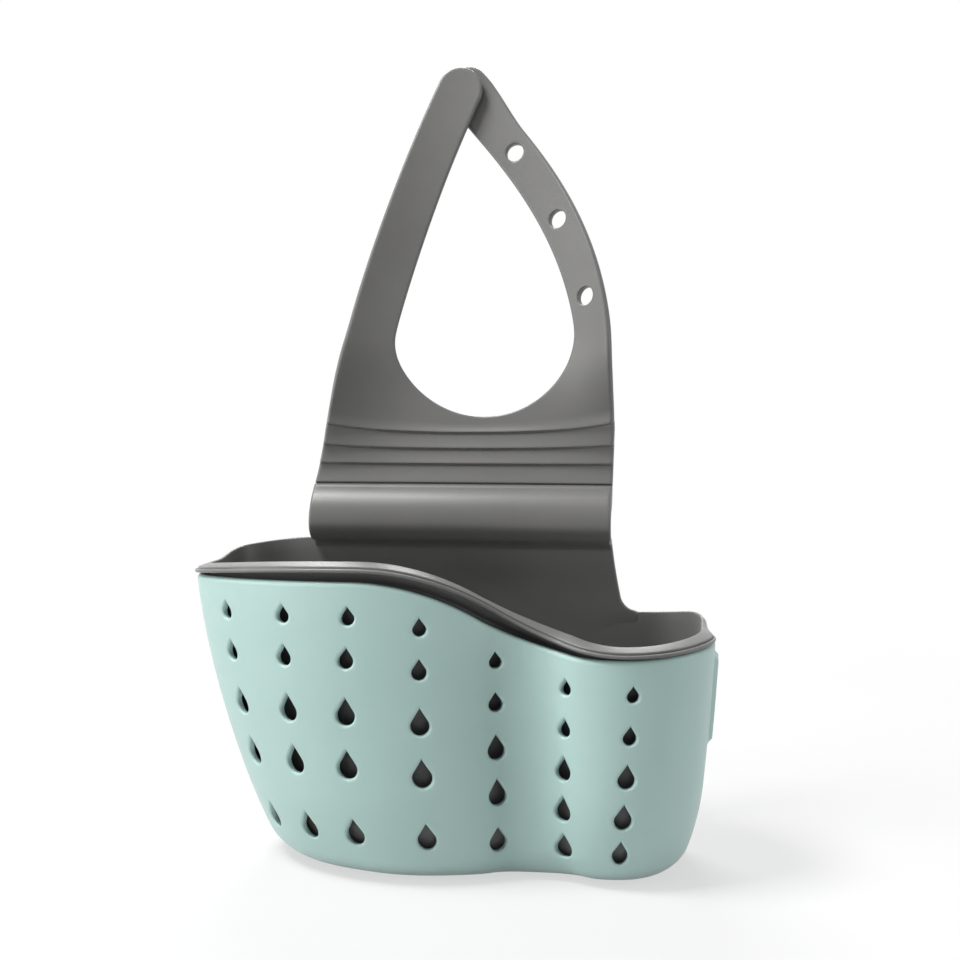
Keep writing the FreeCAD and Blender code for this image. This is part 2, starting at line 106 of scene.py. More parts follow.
def planArcs(z):
    # the plan is tangent arcs: front corner, broad lobe, hollow, right lobe, two back corners;
    # the broad lobe touches the corner's arc from inside, the hollow touches both lobes from outside
    p = {key: drawnIn(key, z) for key in planForm}
    left, right, cornerR, rightR = -p["leftReach"], p["rightReach"], p["frontCorner"], p["rightLobe"]
    cornerX, cornerY, lobeX = left + cornerR, p["cornerY"], p["lobePlace"]
    run, rise = lobeX - cornerX, p["leftFront"] + cornerY
    lobeR = (run ** 2 + rise ** 2 - cornerR ** 2) / (2 * (rise - cornerR))
    lobeY = lobeR - p["leftFront"]
    rightX, rightY = right - rightR, rightR - p["rightFront"]
    first, second = lobeR + p["hollow"], rightR + p["hollow"]
    dx, dy = rightX - lobeX, rightY - lobeY
    gap = np.hypot(dx, dy)
    along = (first ** 2 - second ** 2 + gap ** 2) / (2 * gap)
    aside = np.sqrt(first ** 2 - along ** 2)
    hollowX, hollowY = lobeX + (dx * along + dy * aside) / gap, lobeY + (dy * along - dx * aside) / gap
    arcs = {"corner": (cornerX, cornerY, cornerR), "lobe": (lobeX, lobeY, lobeR),
            "hollow": (hollowX, hollowY, -p["hollow"]), "right": (rightX, rightY, rightR)}
    return arcs, left, right, p["backReach"], p["backCorner"]


def holeRows(share):
    # heights of the top and bottom rows of holes, and how far a place is on the low side
    level = rimHeight(share * planForm["rightReach"][0], basketRim)
    right = np.clip((basketRim["high"] - level) / (basketRim["high"] - basketRim["low"]), 0, 1)
    return level - holeLean["topDrop"], between(*holeLean["bottom"], right), right


def leant(share, z):
    # columns lean to the left on their way down, most in the broad lobe, as a bell curve
    top, bottom, _ = holeRows(share)
    down = np.clip((top - z) / (top - bottom), 0.0, holeLean["most"])
    bell = np.exp(-((share - holeLean["middle"]) / holeLean["spread"]) ** 2)
    return share - (holeLean["all"] + holeLean["lobe"] * bell) * down


def frontBase(share, z):
    # a place across the front gives the arc it lies on, and so its point and outward turn
    share = leant(share, z)
    arcs, left, right = planArcs(z)[:3]
    x = (left + right) / 2 + share * (right - left) / 2

    def past(name, far):  # 1 beyond the point where one arc touches the next
        (x0, y0, reach), (x1, y1, _) = arcs[name], arcs[far]
        return (x > x0 + reach * (x1 - x0) / np.hypot(x1 - x0, y1 - y0)).astype(int)

    which = past("lobe", "corner") + past("lobe", "hollow") + past("right", "hollow")
    middleX, middleY, radius = (np.choose(which, values) for values in zip(*arcs.values()))
    turn = 2 * math.pi - np.arccos(np.clip((x - middleX) / radius, -1.0, 1.0))
    return middleX + radius * np.cos(turn), middleY + radius * np.sin(turn), turn


def restBase(z):
    # round the right end, the back and the left end: arcs and straights by turns
    arcs, left, right, back, backR = planArcs(z)
    one, half = np.ones_like(z), math.pi / 2
    turnLeft, turnRight = (frontBase(frontShares[k] * one, z)[2] for k in (0, -1))
    backLow, leftIn, rightIn = back - backR, left + backR, right - backR
    bends = {0: (*arcs["right"], turnRight, 4 * half * one),
             2: (rightIn, backLow, backR, 0 * one, half * one),
             4: (leftIn, backLow, backR, half * one, 2 * half * one),
             6: (*arcs["corner"], 2 * half * one, turnLeft)}
    lines = {1: (right, arcs["right"][1], right, backLow, 0.0),
             3: (rightIn, back, leftIn, back, half),
             5: (left, backLow, left, arcs["corner"][1], 2 * half)}
    x, y, turn, start = np.zeros_like(z), np.zeros_like(z), np.zeros_like(z), 0
    for k, count in enumerate(restCounts):
        end = min(start + count, z.shape[1])
        c = slice(start, end)
        f = (np.arange(1, end - start + 1) / count)[None, :]
        if k in bends:
            mx, my, r, t0, t1 = (v[:, c] for v in bends[k])
            turn[:, c] = between(t0, t1, f)
            x[:, c], y[:, c] = mx + r * np.cos(turn[:, c]), my + r * np.sin(turn[:, c])
        else:
            x0, y0, x1, y1 = (v[:, c] for v in lines[k][:4])
            x[:, c], y[:, c], turn[:, c] = between(x0, x1, f), between(y0, y1, f), lines[k][4]
        start = end
    return x, y, turn


def tuckedIn(x, turn, z):
    # the wall's foot curves in as a square: fully under the lobes and the right end, less at the
    # left end, and not in the hollow or along the back
    t = bottomTuck
    left = t["leftShare"] + (1 - t["leftShare"]) * smoothStep((x - t["leftStart"]) / t["leftRun"])
    lobes = 1 - np.exp(-((x - t["hollowX"]) / t["hollowRun"]) ** 2)
    back = smoothStep((np.sin(turn) - t["backStart"]) / t["backRun"])
    facing = np.where(np.sin(turn) < 0, lobes + (1 - lobes) * np.cos(turn) ** 2, 1 - back)
    return t["most"] * left * facing * np.clip(1 - z / t["top"], 0.0, 1.0) ** 2


def drawnFrom(x, y, turn, z, depth, floorAt, slack=0.0):
    # step in from the outside by depth, and further where the bottom edge is rounded as a
    # quarter circle or tucked in; slack is more on the side that faces forwards
    rounding = taper["baseRound"] - floorAt(depth)
    low = np.clip(taper["baseRound"] - z, 0.0, rounding)
    inset = depth + rounding - np.sqrt(rounding ** 2 - low ** 2)
    facing = smoothStep((taper["faceStart"] - np.sin(turn)) / taper["faceRun"])
    inset = inset + tuckedIn(x, turn, z) + slack * facing
    return spots(x - inset * np.cos(turn), y - inset * np.sin(turn), z)


def frontWall(share, z, depth, floorAt):
    # points of the front wall from a place across it, a height and a depth
    return drawnFrom(*frontBase(share, z), z, depth, floorAt)


def ringBase(z):
    # outside points and outward turns all the way round: the front's columns, then the rest
    shares = np.broadcast_to(frontShares, (z.shape[0], frontCount))
    return [np.concatenate(pair, 1) for pair in
            zip(frontBase(shares, z[:, :frontCount]), restBase(z[:, frontCount:]))]


def ringWall(z, depth, floorAt, slack=0.0):
    # rows of points all the way round at given heights and depths
    z, depth = np.broadcast_arrays(z, depth)
    return drawnFrom(*ringBase(z), z, depth, floorAt, slack)


def arcSag(run, rise, place):
    # fall of an arc that starts level and drops by rise over run
    radius = (run ** 2 + rise ** 2) / (2 * rise)
    return radius - np.sqrt(np.maximum(radius ** 2 - place ** 2, 0.0))


def rimHeight(x, rim):
    # soft fall to the left, a step of two arcs, a rise to the right
    middle, halfStep = (rim["start"] + rim["end"]) / 2, (rim["high"] - rim["low"]) / 2
    leftRun = rim["start"] + planForm["leftReach"][0]
    rightRun = planForm["rightReach"][0] - rim["end"]
    left = rim["high"] - arcSag(leftRun, rim["leftDrop"], rim["start"] - x)
    high = rim["high"] - arcSag(middle - rim["start"], halfStep, np.clip(x - rim["start"], 0, None))
    low = rim["low"] + arcSag(rim["end"] - middle, halfStep, np.clip(rim["end"] - x, 0, None))
    right = rim["low"] + arcSag(rightRun, rimEnds["rightRise"], x - rim["end"])
    return np.select([x < rim["start"], x < middle, x < rim["end"]], [left, high, low], right)


def rimLine(rim, floorAt):
    # heights of a rim all the way round, with a climb towards the back
    z = np.full((1, ringCount), rim["high"])
    for _ in range(3):  # the rim's height and its place across settle together
        points = ringWall(z, 0.0 * z, floorAt)
        climb = smoothStep((points[..., 1] - rimEnds["backStart"]) / rimEnds["backRun"])
        z = rimHeight(points[..., 0], rim) + rim["back"] * climb
    return z


# Meshes from grids: weld distance in metres, angles in degrees past which an edge is sharp
meshForm = {"weld": 4e-6, "sharp": 35.0, "softSharp": 50.0}


def gridFaces(rows, columns, closed=False):
    # four corners of each cell; a closed grid joins its last column to its first
    i = np.arange(rows - 1)[:, None]
    j = np.arange(columns if closed else columns - 1)[None, :]
    a, b = i * columns + j, i * columns + (j + 1) % columns
    return spots(a, b, b + columns, a + columns).reshape(-1, 4)


def inScene(name, data):
    # a new object that shows the data
    obj = bpy.data.objects.new(name, data)
    bpy.context.scene.collection.objects.link(obj)
    return obj


def makePiece(name, grids, material, sharp=meshForm["sharp"]):
    # one mesh from (points, closed) pairs, with their meeting edges welded
    points, faces, offset = [], [], 0
    for grid, closed in grids:
        rows, columns = grid.shape[:2]
        points.append(grid.reshape(-1, 3))
        faces.append(gridFaces(rows, columns, closed) + offset)
        offset += rows * columns
    mesh = bpy.data.meshes.new(name)
    mesh.from_pydata((np.concatenate(points) * mm).tolist(), [], np.concatenate(faces).tolist())
    bm = bmesh.new()
    bm.from_mesh(mesh)
    bmesh.ops.remove_doubles(bm, verts=bm.verts, dist=meshForm["weld"])
    bmesh.ops.dissolve_degenerate(bm, edges=bm.edges, dist=meshForm["weld"] / 2)
    bmesh.ops.recalc_face_normals(bm, faces=bm.faces)
    openEdges = sum(e.is_boundary for e in bm.edges)
    bm.to_mesh(mesh)
    bm.free()
    mesh.polygons.foreach_set("use_smooth", np.ones(len(mesh.polygons), bool))
    mesh.set_sharp_from_angle(angle=math.radians(sharp))
    mesh.materials.append(material)
    print(name, "faces", len(mesh.polygons), "open edges", openEdges)
    return inScene(name, mesh)


def cellEdge(u, v, across, up):
    # points round a four-cornered cell, counter-clockwise from its lower left corner
    loop = []
    for k in range(4):
        n, side = (k + 1) % 4, (across, up)[k % 2]
        f = np.arange(side) / side
        loop.append(spots(between(u[k], u[n], f), between(v[k], v[n], f)))
    return np.concatenate(loop)


def dropReach(turn, radius, tip):
    # polar form of a drop: a circle with two tangents to a tip above it
    opening = math.acos(min(radius / tip, 1.0))
    fromTip = np.abs((turn - math.pi / 2 + math.pi) % (2 * math.pi) - math.pi)
    return radius / np.cos(np.maximum(opening - fromTip, 0.0))


def holePatch(edge, middle, scale, radius, tip, rings):
    # rings from one face's cell edge, through the hole, to the other face's cell edge:
    # each ring has its spread to the edge, its growth round the hole and its depth
    delta = (edge - middle) / scale
    turn = np.arctan2(delta[:, 1], delta[:, 0])
    way = spots(np.cos(turn), np.sin(turn))
    spread, growth, depth = (np.array(r)[:, None] for r in zip(*rings))
    reach = np.stack([dropReach(turn, radius + g, tip + g * tip / radius) for g in growth[:, 0]])
    place = reach[..., None] * way * (1 - spread)[..., None] + delta * spread[..., None]
    uv = middle + place * scale
    return uv[..., 0], uv[..., 1], np.broadcast_to(depth, reach.shape)


def bothFaces(rings, thick):
    # rings from one face, then the same ones back to front at the other face
    return rings + [(spread, growth, thick - depth) for spread, growth, depth in rings[::-1]]


# Shader nodes
def feed(tree, node, inputs):
    # each input gets a plain value, or a link where a socket is given
    for key, value in inputs.items():
        if isinstance(value, bpy.types.NodeSocket):
            tree.links.new(value, node.inputs[key])
        else:
            node.inputs[key].default_value = value


def addNode(tree, kind, inputs=None, **settings):
    # a node with its settings made and its inputs fed
    node = tree.nodes.new(kind)
    for key, value in settings.items():
        setattr(node, key, value)
    feed(tree, node, inputs or {})
    return node


def mixed(tree, share, first, second):
    # first, plus share times the way from first to second
    values = {0: share, 2: first, 3: second}
    return addNode(tree, "ShaderNodeMix", values, data_type="FLOAT").outputs[0]


def noise(tree, scale, detail, rough):
    # noise on the piece's own coordinates
    place = addNode(tree, "ShaderNodeTexCoord").outputs["Object"]
    values = {"Vector": place, "Scale": scale, "Detail": detail, "Roughness": rough}
    return addNode(tree, "ShaderNodeTexNoise", values).outputs["Fac"]


def newGroup(name, inputs, outputs):
    # a group with named sockets; a default of four numbers makes a colour socket
    tree = bpy.data.node_groups.new(name, "ShaderNodeTree")
    for label, default in inputs.items():
        kind = "NodeSocketColor" if isinstance(default, tuple) else "NodeSocketFloat"
        tree.interface.new_socket(name=label, in_out="INPUT", socket_type=kind).default_value = default
    for label, kind in outputs.items():
        tree.interface.new_socket(name=label, in_out="OUTPUT", socket_type=kind)
    return tree, tree.nodes.new("NodeGroupInput").outputs, tree.nodes.new("NodeGroupOutput")


def mouldedTone():
    # slow drift of tone over the moulding, with fine flecks
    tree, given, out = newGroup("mouldedTone", {
        "Light": (1, 1, 1, 1), "Dark": (0, 0, 0, 1),
        "Drift Scale": 30.0, "Fleck Scale": 900.0, "Fleck": 0.2}, {"Color": "NodeSocketColor"})
    drift = noise(tree, given["Drift Scale"], 3.0, 0.55)
    fleck = noise(tree, given["Fleck Scale"], 2.0, 0.6)
    spread = addNode(tree, "ShaderNodeMapRange", {"Value": drift, "From Min": 0.3, "From Max": 0.7})
    both = mixed(tree, given["Fleck"], spread.outputs["Result"], fleck)
    ends = {0: both, 6: given["Dark"], 7: given["Light"]}
    feed(tree, out, {"Color": addNode(tree, "ShaderNodeMix", ends, data_type="RGBA").outputs[2]})
    return tree


def mouldedGrain():
    # fine spark-eroded texture for the height, and roughness that follows it
    tree, given, out = newGroup("mouldedGrain", {
        "Scale": 2500.0, "Wave Scale": 60.0, "Wave": 0.3, "Rough Low": 0.4, "Rough High": 0.5},
        {"Height": "NodeSocketFloat", "Roughness": "NodeSocketFloat"})
    grain = noise(tree, given["Scale"], 2.0, 0.6)
    wave = noise(tree, given["Wave Scale"], 2.0, 0.5)
    both = mixed(tree, given["Wave"], grain, wave)
    rough = addNode(tree, "ShaderNodeMapRange", {
        "Value": both, "From Min": 0.25, "From Max": 0.75,
        "To Min": given["Rough Low"], "To Max": given["Rough High"]})
    feed(tree, out, {"Height": both, "Roughness": rough.outputs["Result"]})
    return tree


toneGroup = mouldedTone()
grainGroup = mouldedGrain()


def newMaterial(name):
    # a material with its nodes and its one shader
    material = bpy.data.materials.new(name)
    material.use_nodes = True
    return material, material.node_tree, material.node_tree.nodes["Principled BSDF"]


def mouldedMaterial(name, look):
    # both groups feed the shader; what is the same all over is set on the shader itself
    material, tree, shader = newMaterial(name)
    tone = addNode(tree, "ShaderNodeGroup", node_tree=toneGroup)
    grain = addNode(tree, "ShaderNodeGroup", node_tree=grainGroup)
    for node in (tone, grain):
        feed(tree, node, {key: look[key] for key in node.inputs.keys()})
    bump = addNode(tree, "ShaderNodeBump", {
        "Strength": look["Bump"], "Distance": look["Bump Height"], "Height": grain.outputs["Height"]})
    feed(tree, shader, {"Base Color": tone.outputs["Color"], "Roughness": grain.outputs["Roughness"],
                        "Normal": bump.outputs["Normal"], **look["plain"]})
    return material


mintLook = {
    "Light": (0.390, 0.540, 0.511, 1), "Dark": (0.350, 0.500, 0.471, 1),
    "Drift Scale": 22.0, "Fleck Scale": 1400.0, "Fleck": 0.25,
    "Scale": 3200.0, "Wave Scale": 45.0, "Wave": 0.25, "Rough Low": 0.36, "Rough High": 0.46,
    "Bump": 0.10, "Bump Height": 0.0002, "plain": {"IOR": 1.49, "Specular IOR Level": 0.45},
}
greyLook = {
    "Light": (0.134, 0.133, 0.130, 1), "Dark": (0.106, 0.105, 0.102, 1),
    "Drift Scale": 26.0, "Fleck Scale": 1800.0, "Fleck": 0.3,
    "Scale": 3600.0, "Wave Scale": 60.0, "Wave": 0.3, "Rough Low": 0.31, "Rough High": 0.42,
    "Bump": 0.14, "Bump Height": 0.0002,
    "plain": {"IOR": 1.5, "Specular IOR Level": 0.36, "Sheen Weight": 0.08, "Sheen Roughness": 0.6},
}
mintPlastic = mouldedMaterial("mintPlastic", mintLook)
greyRubber = mouldedMaterial("greyRubber", greyLook)
print("materials made")

# Drain plate in the floors of basket and liner
drains = {"columns": 5, "rows": 2, "pitchX": 17.0, "pitchY": 12.0, "middleX": 6.22, "middleY": 7.0,
          "radius": 2.5, "trimX": 3.4, "trimY": 2.0, "edge": 0.3, "spread": 0.4,
          "sideX": 20, "sideY": 25, "ringShift": 6, "stripRows": 6}


def drainPlate(lowZ, highZ, lowLoop, highLoop):
    # cells with round holes, and flat strips from the plate's edge to the wall's bottom loops
    d = drains
    grids, e = [], d["edge"]
    rings = [(1, 0, 0), (d["spread"], 0, 0), (0, e, 0), (0, e / 3, e / 3), (0, 0, e)]
    rings = bothFaces(rings, highZ - lowZ)
    # edges between cells; the outer ones are trimmed to stay clear of the walls
    edgeX = d["middleX"] + (np.arange(d["columns"] + 1) - d["columns"] / 2) * d["pitchX"]
    edgeY = d["middleY"] + (np.arange(d["rows"] + 1) - d["rows"] / 2) * d["pitchY"]
    middleX, middleY = (edgeX[1:] + edgeX[:-1]) / 2, (edgeY[1:] + edgeY[:-1]) / 2
    edgeX[[0, -1]] += np.array([1, -1]) * d["trimX"]
    edgeY[[0, -1]] += np.array([1, -1]) * d["trimY"]
    for column in range(d["columns"]):
        for row in range(d["rows"]):
            u0, u1 = edgeX[column:column + 2]
            v0, v1 = edgeY[row:row + 2]
            edge = cellEdge((u0, u1, u1, u0), (v0, v0, v1, v1), d["sideX"], d["sideY"])
            middle = np.array([middleX[column], middleY[row]])
            x, y, depth = holePatch(edge, middle, 1.0, d["radius"], d["radius"], rings)
            grids.append((spots(x, y, lowZ + depth), True))

    def border(edges, side):  # points along a row of cells, without the last one
        return (edges[:-1, None] + np.diff(edges)[:, None] * np.arange(side) / side).ravel()

    sides = border(edgeX, d["sideX"]), border(edgeY, d["sideY"])
    backs = border(edgeX[::-1], d["sideX"]), border(edgeY[::-1], d["sideY"])
    rectX = np.concatenate([sides[0], edgeX[-1] + 0 * sides[1], backs[0], edgeX[0] + 0 * backs[1]])
    rectY = np.concatenate([edgeY[0] + 0 * sides[0], sides[1], edgeY[-1] + 0 * backs[0], backs[1]])
    f = np.linspace(0, 1, d["stripRows"])[:, None, None]
    for z, loop in ((lowZ, lowLoop), (highZ, highLoop)):
        rect = np.roll(spots(rectX, rectY, z), d["ringShift"], 0)
        grids.append((between(loop, rect, f), True))
    return grids


# Outer basket
basketForm = {
    "wall": 1.8, "floor": 2.2, "rimRound": 1.3, "rimInner": 0.45,
    "leftRows": (0.0, 0.19, 0.435, 0.68, 1.0), "rightRows": (0.0, 0.255, 0.51, 0.765, 1.0),
    "widths": (3.7, 4.2, 5.3, 5.6, 5.4), "heights": (5.0, 5.8, 7.6, 8.0, 7.6), "rightSize": 0.88,
    "chamfer": 0.62, "chamferDepth": 0.5, "chamferCurve": ((0.62, 0.13), (0.24, 0.48)),
    "holeRings": (0.6, 0.3, 0.1, 0), "innerRing": 0.4, "innerEdge": 0.15,
    "cellMargin": 2.3, "topMargin": 3.6, "lowestEdge": 7.9,
    "padProud": (0.35, 1.2), "padFrom": 45.0, "padRun": 5.0,
    "padWidth": 14.0, "padHeight": 23.0, "padLow": 37.0, "padY": 6.0, "padSoft": 1.4,
    "bandRows": 14, "rimRows": 6, "footRows": 12,
}


def basketFloor(depth):
    # the floor's height rises from outside to inside in step with the wall's depth
    return basketForm["floor"] * depth / basketForm["wall"]


def holePlan():
    # heights and sizes of the drop holes: rows by columns
    b = basketForm
    share = firstShare + sharePitch * np.arange(frontCells)
    top, bottom, right = holeRows(share)
    size = 1 + (b["rightSize"] - 1) * right
    down = np.outer(b["leftRows"], 1 - right) + np.outer(b["rightRows"], right)
    height = top - (top - bottom) * down
    return share, height, np.outer(b["widths"], size), np.outer(b["heights"], size)


def cellRows(height, size, rim):
    # edges between the rows of cells, at the columns' sides and spread over every ring column;
    # away from the front they keep their shares of the height below the rim
    b = basketForm
    low, high = height - size / 2, height + size / 2
    middle = (low[:-1] + high[1:]) / 2
    rows = np.vstack([high[:1] + b["topMargin"], middle,
                      np.minimum(low[-1:] - b["cellMargin"], b["lowestEdge"])])
    edges = np.hstack([rows[:, :1], (rows[:, :-1] + rows[:, 1:]) / 2, rows[:, -1:]])
    at = np.arange(frontCount) / cellSide
    front = np.stack([np.interp(at, np.arange(frontCells + 1), row) for row in edges])
    f = np.arange(1, sum(restCounts)) / sum(restCounts)
    share = (edges - edges[-1]) / (edges[0] - edges[-1])
    drop = rim[0, frontCount - 1] - edges[0, -1], rim[0, 0] - edges[0, 0]
    top = rim[0, frontCount:] - between(*drop, f)
    bottom = between(edges[-1, -1], edges[-1, 0], f)
    rest = between(bottom, top, between(share[:, -1:], share[:, :1], f))
    return edges, np.hstack([front, rest])


def padDepth(points):
    # grip pads stand proud of both ends: a product of soft steps along, across and up
    b = basketForm
    x, y, z = (points[..., k] for k in range(3))

    def within(value, middle, size):  # 1 inside a length, 0 outside, with soft ends
        return 1 - smoothStep((np.abs(value - middle) - size / 2) / b["padSoft"] + 0.5)

    ends = smoothStep((np.abs(x) - b["padFrom"]) / b["padRun"])
    middle = b["padLow"] + b["padHeight"] / 2
    return (np.where(x < 0, *b["padProud"]) * ends * within(y, b["padY"], b["padWidth"])
            * within(z, middle, b["padHeight"]))


def basketGrids():
    # bands of the shell from rim to floor, each a grid of heights by columns, and the hole cells
    b = basketForm
    share, height, width, tall = holePlan()
    rim = rimLine(basketRim, basketFloor)
    edges, rows = cellRows(height, tall, rim)
    grids = []
    # upper band: up the outside, over the rounded rim, down the inside
    f = np.linspace(0, 1, b["bandRows"])[:, None]
    t = np.linspace(0, math.pi / 2, b["rimRows"])[1:, None]
    r, q, w = b["rimRound"], b["rimInner"], b["wall"]
    up, down = between(rows[:1], rim - r, f), between(rows[:1], rim - q, f[::-1])
    z = np.vstack([up, rim - r + r * np.sin(t), rim - q + q * np.cos(t[:-1]), down])
    depth = np.concatenate([0 * f, r - r * np.cos(t), w - q + q * np.sin(t[:-1]), 0 * f + w])
    grids.append((ringWall(z, depth, basketFloor), True))
    # rest of the middle band, outside and inside, with the pads on the outside
    count = len(b["widths"])
    g = np.arange(count * cellSide + 1) / cellSide
    z = np.stack([np.interp(g, np.arange(count + 1), rows[:, c]) for c in range(ringCount)], 1)
    keep = np.r_[frontCount - 1:ringCount, 0]
    pads = padDepth(ringWall(z, 0.0, basketFloor))
    grids += [(ringWall(z, depth, basketFloor)[:, keep], False) for depth in (-pads, w)]
    # lower band down the rounded bottom edge, outside and inside
    loops = []
    for d in (0.0, w):
        floor = basketFloor(d)
        rounding = taper["baseRound"] - floor
        end = np.arccos(1 - (rows[-1:] - floor) / rounding)
        turn = end * np.linspace(0, 1, b["footRows"])[:, None]
        band = ringWall(floor + rounding * (1 - np.cos(turn)), d, basketFloor)
        loops.append(band[0])
        grids.append((band, True))
    grids += drainPlate(0.0, b["floor"], *loops)
    # drop holes, one patch for each cell
    c, h, i = b["chamfer"], b["chamferDepth"], b["innerEdge"]
    rings = [(1, 0, 0)] + [(spread, c, 0) for spread in b["holeRings"]]
    rings += [(0, grow * c, down * h) for grow, down in b["chamferCurve"]]
    rings += [(0, 0, h), (0, 0, w - i), (0, i, w), (b["innerRing"], i, w), (1, 0, w)]
    near = 0.01  # step of share for the wall's width per share
    for column in range(frontCells):
        u0, u1 = frontShares[[column * cellSide, (column + 1) * cellSide]]
        for row in range(count):
            e = edges[row:row + 2, column:column + 2]
            edge = cellEdge((u0, u1, u1, u0), (e[1, 0], e[1, 1], e[0, 1], e[0, 0]), cellSide, cellSide)
            radius = width[row, column] / 2
            tip = tall[row, column] - radius
            middle = np.array([share[column], height[row, column] + radius - tall[row, column] / 2])
            zHere = np.full(3, height[row, column])
            x, y, _ = frontBase(share[column] + np.array([-near, 0.0, near]), zHere)
            scale = np.array([2 * near / math.hypot(x[2] - x[0], y[2] - y[0]), 1.0])
            u, v, depth = holePatch(edge, middle, scale, radius, tip, rings)
            grids.append((frontWall(u, v, depth, basketFloor), True))
    return grids


basket = makePiece("drainedBasket", basketGrids(), mintPlastic)
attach(basket, "basket")
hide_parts("outer_basket")

# Soft liner tub with its rolled rim
linerForm = {
    "outside": 3.1, "wall": 1.0, "floor": 2.5, "floorThick": 2.0,
    "rimThick": 2.6, "lip": 0.6, "lipThick": 0.95, "lipRound": 0.42, "setback": 0.4,
    "beadRound": 0.4, "innerRound": 0.45, "innerLow": 4.0, "topFall": 18.0,
    "underRound": 0.6, "underStep": 0.8, "underLow": 3.0, "seam": 0.22, "seamWidth": 0.3,
    "slack": 2.2, "slackStart": 2.7, "slackRun": 2.6, "slackLow": 30.0,
    "lipEnd": 12.0, "lipFade": 22.0, "thinLip": 0.2, "wallRows": 40, "footRows": 8,
}


def linerFloor(depth):
    # the floor's height rises from its underside to its top in step with the wall's depth
    n = linerForm
    return n["floor"] + n["floorThick"] * (depth - n["outside"]) / n["wall"]


def noFloor(depth):
    # for rims, whose walls have no floor under them
    return 0.0 * depth


def arcPath(middle, radius, start, end, count):
    # points on a circle from one turn to another, in degrees
    t = np.radians(np.linspace(start, end, count))
    return [(middle[0] + radius * math.cos(a), middle[1] + radius * math.sin(a)) for a in t]


def rimSection():
    # rolled rim as depth from the shell's outside and height from the top of the rim:
    # a lip, a fine seam, then a slope that rises to the inner edge
    n = linerForm
    outside, inner, back = n["outside"], n["outside"] + n["wall"], n["setback"]
    low, step = -n["rimThick"], n["lipThick"] - n["rimThick"]
    r, q, s, u, w = (n[k] for k in ("lipRound", "beadRound", "innerRound", "underRound", "seamWidth"))
    path = [(outside, low - n["underLow"]), (outside, low - n["underStep"])]
    path += arcPath((outside - u, low - u), u, 0, 90, 4)
    path += arcPath((-n["lip"] + r, low + r), r, 270, 180, 5)
    path += arcPath((-n["lip"] + r, step - r), r, 180, 90, 5)
    path += [(back - w, step), (back - w / 2, step - n["seam"]), (back, step)]
    fall = math.radians(n["topFall"])
    run = (inner - s - (s - q) * math.sin(fall) - back - q) / math.cos(fall)
    corner = (back + q, -s + (s - q) * math.cos(fall) - run * math.sin(fall))
    path += arcPath(corner, q, 180, 90 + n["topFall"], 6)
    path += arcPath((inner - s, -s), s, 90 + n["topFall"], 0, 8)
    path += [(inner, -n["innerLow"])]
    return np.array(path)


def linerGrids():
    # the rim's section carried round, then outer and inner walls down to the floor
    n = linerForm
    inner = n["outside"] + n["wall"]
    rim = rimLine(linerRim, noFloor)
    section = rimSection()
    start = taper["baseRound"]

    def slackAt(z):  # the front wall stands back from the shell below the rim
        top = smoothStep((rim - n["slackStart"] - z) / n["slackRun"])
        return n["slack"] * top * smoothStep((z - start) / n["slackLow"])

    # the lip is full along the front and narrows to a thin rim round the ends and the back
    front = smoothStep((n["lipEnd"] - ringBase(rim)[1]) / n["lipFade"])
    reach = n["thinLip"] + (1 - n["thinLip"]) * front
    depth = section[:, :1] + (reach - 1) * np.minimum(section[:, :1] - n["outside"], 0.0)
    z = rim + section[:, 1:]
    grids = [(ringWall(z, depth, noFloor, slackAt(z)), True)]
    f = np.linspace(0, 1, n["wallRows"])[:, None]
    loops = []
    for depth, top in ((n["outside"], section[0, 1]), (inner, section[-1, 1])):
        z = between(start, rim + top, f)
        grids.append((ringWall(z, depth, linerFloor, slackAt(z)), True))
        floor = linerFloor(depth)
        turn = np.linspace(0, math.pi / 2, n["footRows"])[:, None]
        z = floor + (start - floor) * (1 - np.cos(turn)) + 0 * rim
        band = ringWall(z, depth, linerFloor)
        loops.append(band[0])
        grids.append((band, True))
    return grids + drainPlate(n["floor"], n["floor"] + n["floorThick"], *loops)


liner = makePiece("softLiner", linerGrids(), greyRubber)
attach(liner, "liner")
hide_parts("liner_tub")

# Strap: one soft sheet from the liner's back wall to the two tails
strapForm = {
    "thick": 2.2, "panelY": 27.8, "lean": math.radians(10.0), "leanSoft": 3.0,
    "left": 47.7, "right": 43.2, "flare": 5.6, "yoke": 43.8,
    "slant": 2.4, "slantTop": 89.0, "slantRun": 15.5, "slantPower": 1.3,
    "rollLow": 86.2, "rollPeak": 94.2, "rollDepth": 7.2, "rollFoot": 3.4,
    "webLow": 105.0, "webHigh": 122.6, "webTop": 124.2, "cupRadius": 66.0, "cupFull": 150.0,
    "cupLeast": 0.05,
    "pleats": (105.9, 111.5, 116.1, 120.9), "lastBand": 3.2, "bandProud": 0.8, "notch": 0.3,
    "lineWidth": 0.28, "pleatTilt": 0.6, "loopX": 3.75, "loopBottom": 126.1,
    "edgeRound": 0.9, "edgePower": 3.0, "backRelief": 0.5, "seamZ": 140.0,
    "sunk": 14.0, "sunkTop": 2.0, "sunkThin": 0.77, "tuck": 0.5, "tuckRun": 14.0, "tuckSoft": 10.0,
}
tailForm = {
    "rootZ": 150.0, "buttonX": -5.6, "buttonZ": 227.6, "gap": 0.8, "liftShare": 0.75,
    "cornerDrop": 1.55, "loopInset": 0.7, "fairing": 3.2, "wideStart": 0.74,
    "holeRadius": 2.8, "holeShares": (0.1285, 0.419, 0.7095), "side": 1.1,
    "holeEdge": 0.3, "edgeCurve": ((1, 0), (0.3, 0.3), (0, 1)), "holeRings": (0.5, 0.2),
    "lineCount": 161, "armCount": 12, "borderCount": 17, "endRings": 12, "rowStep": 0.9,
}
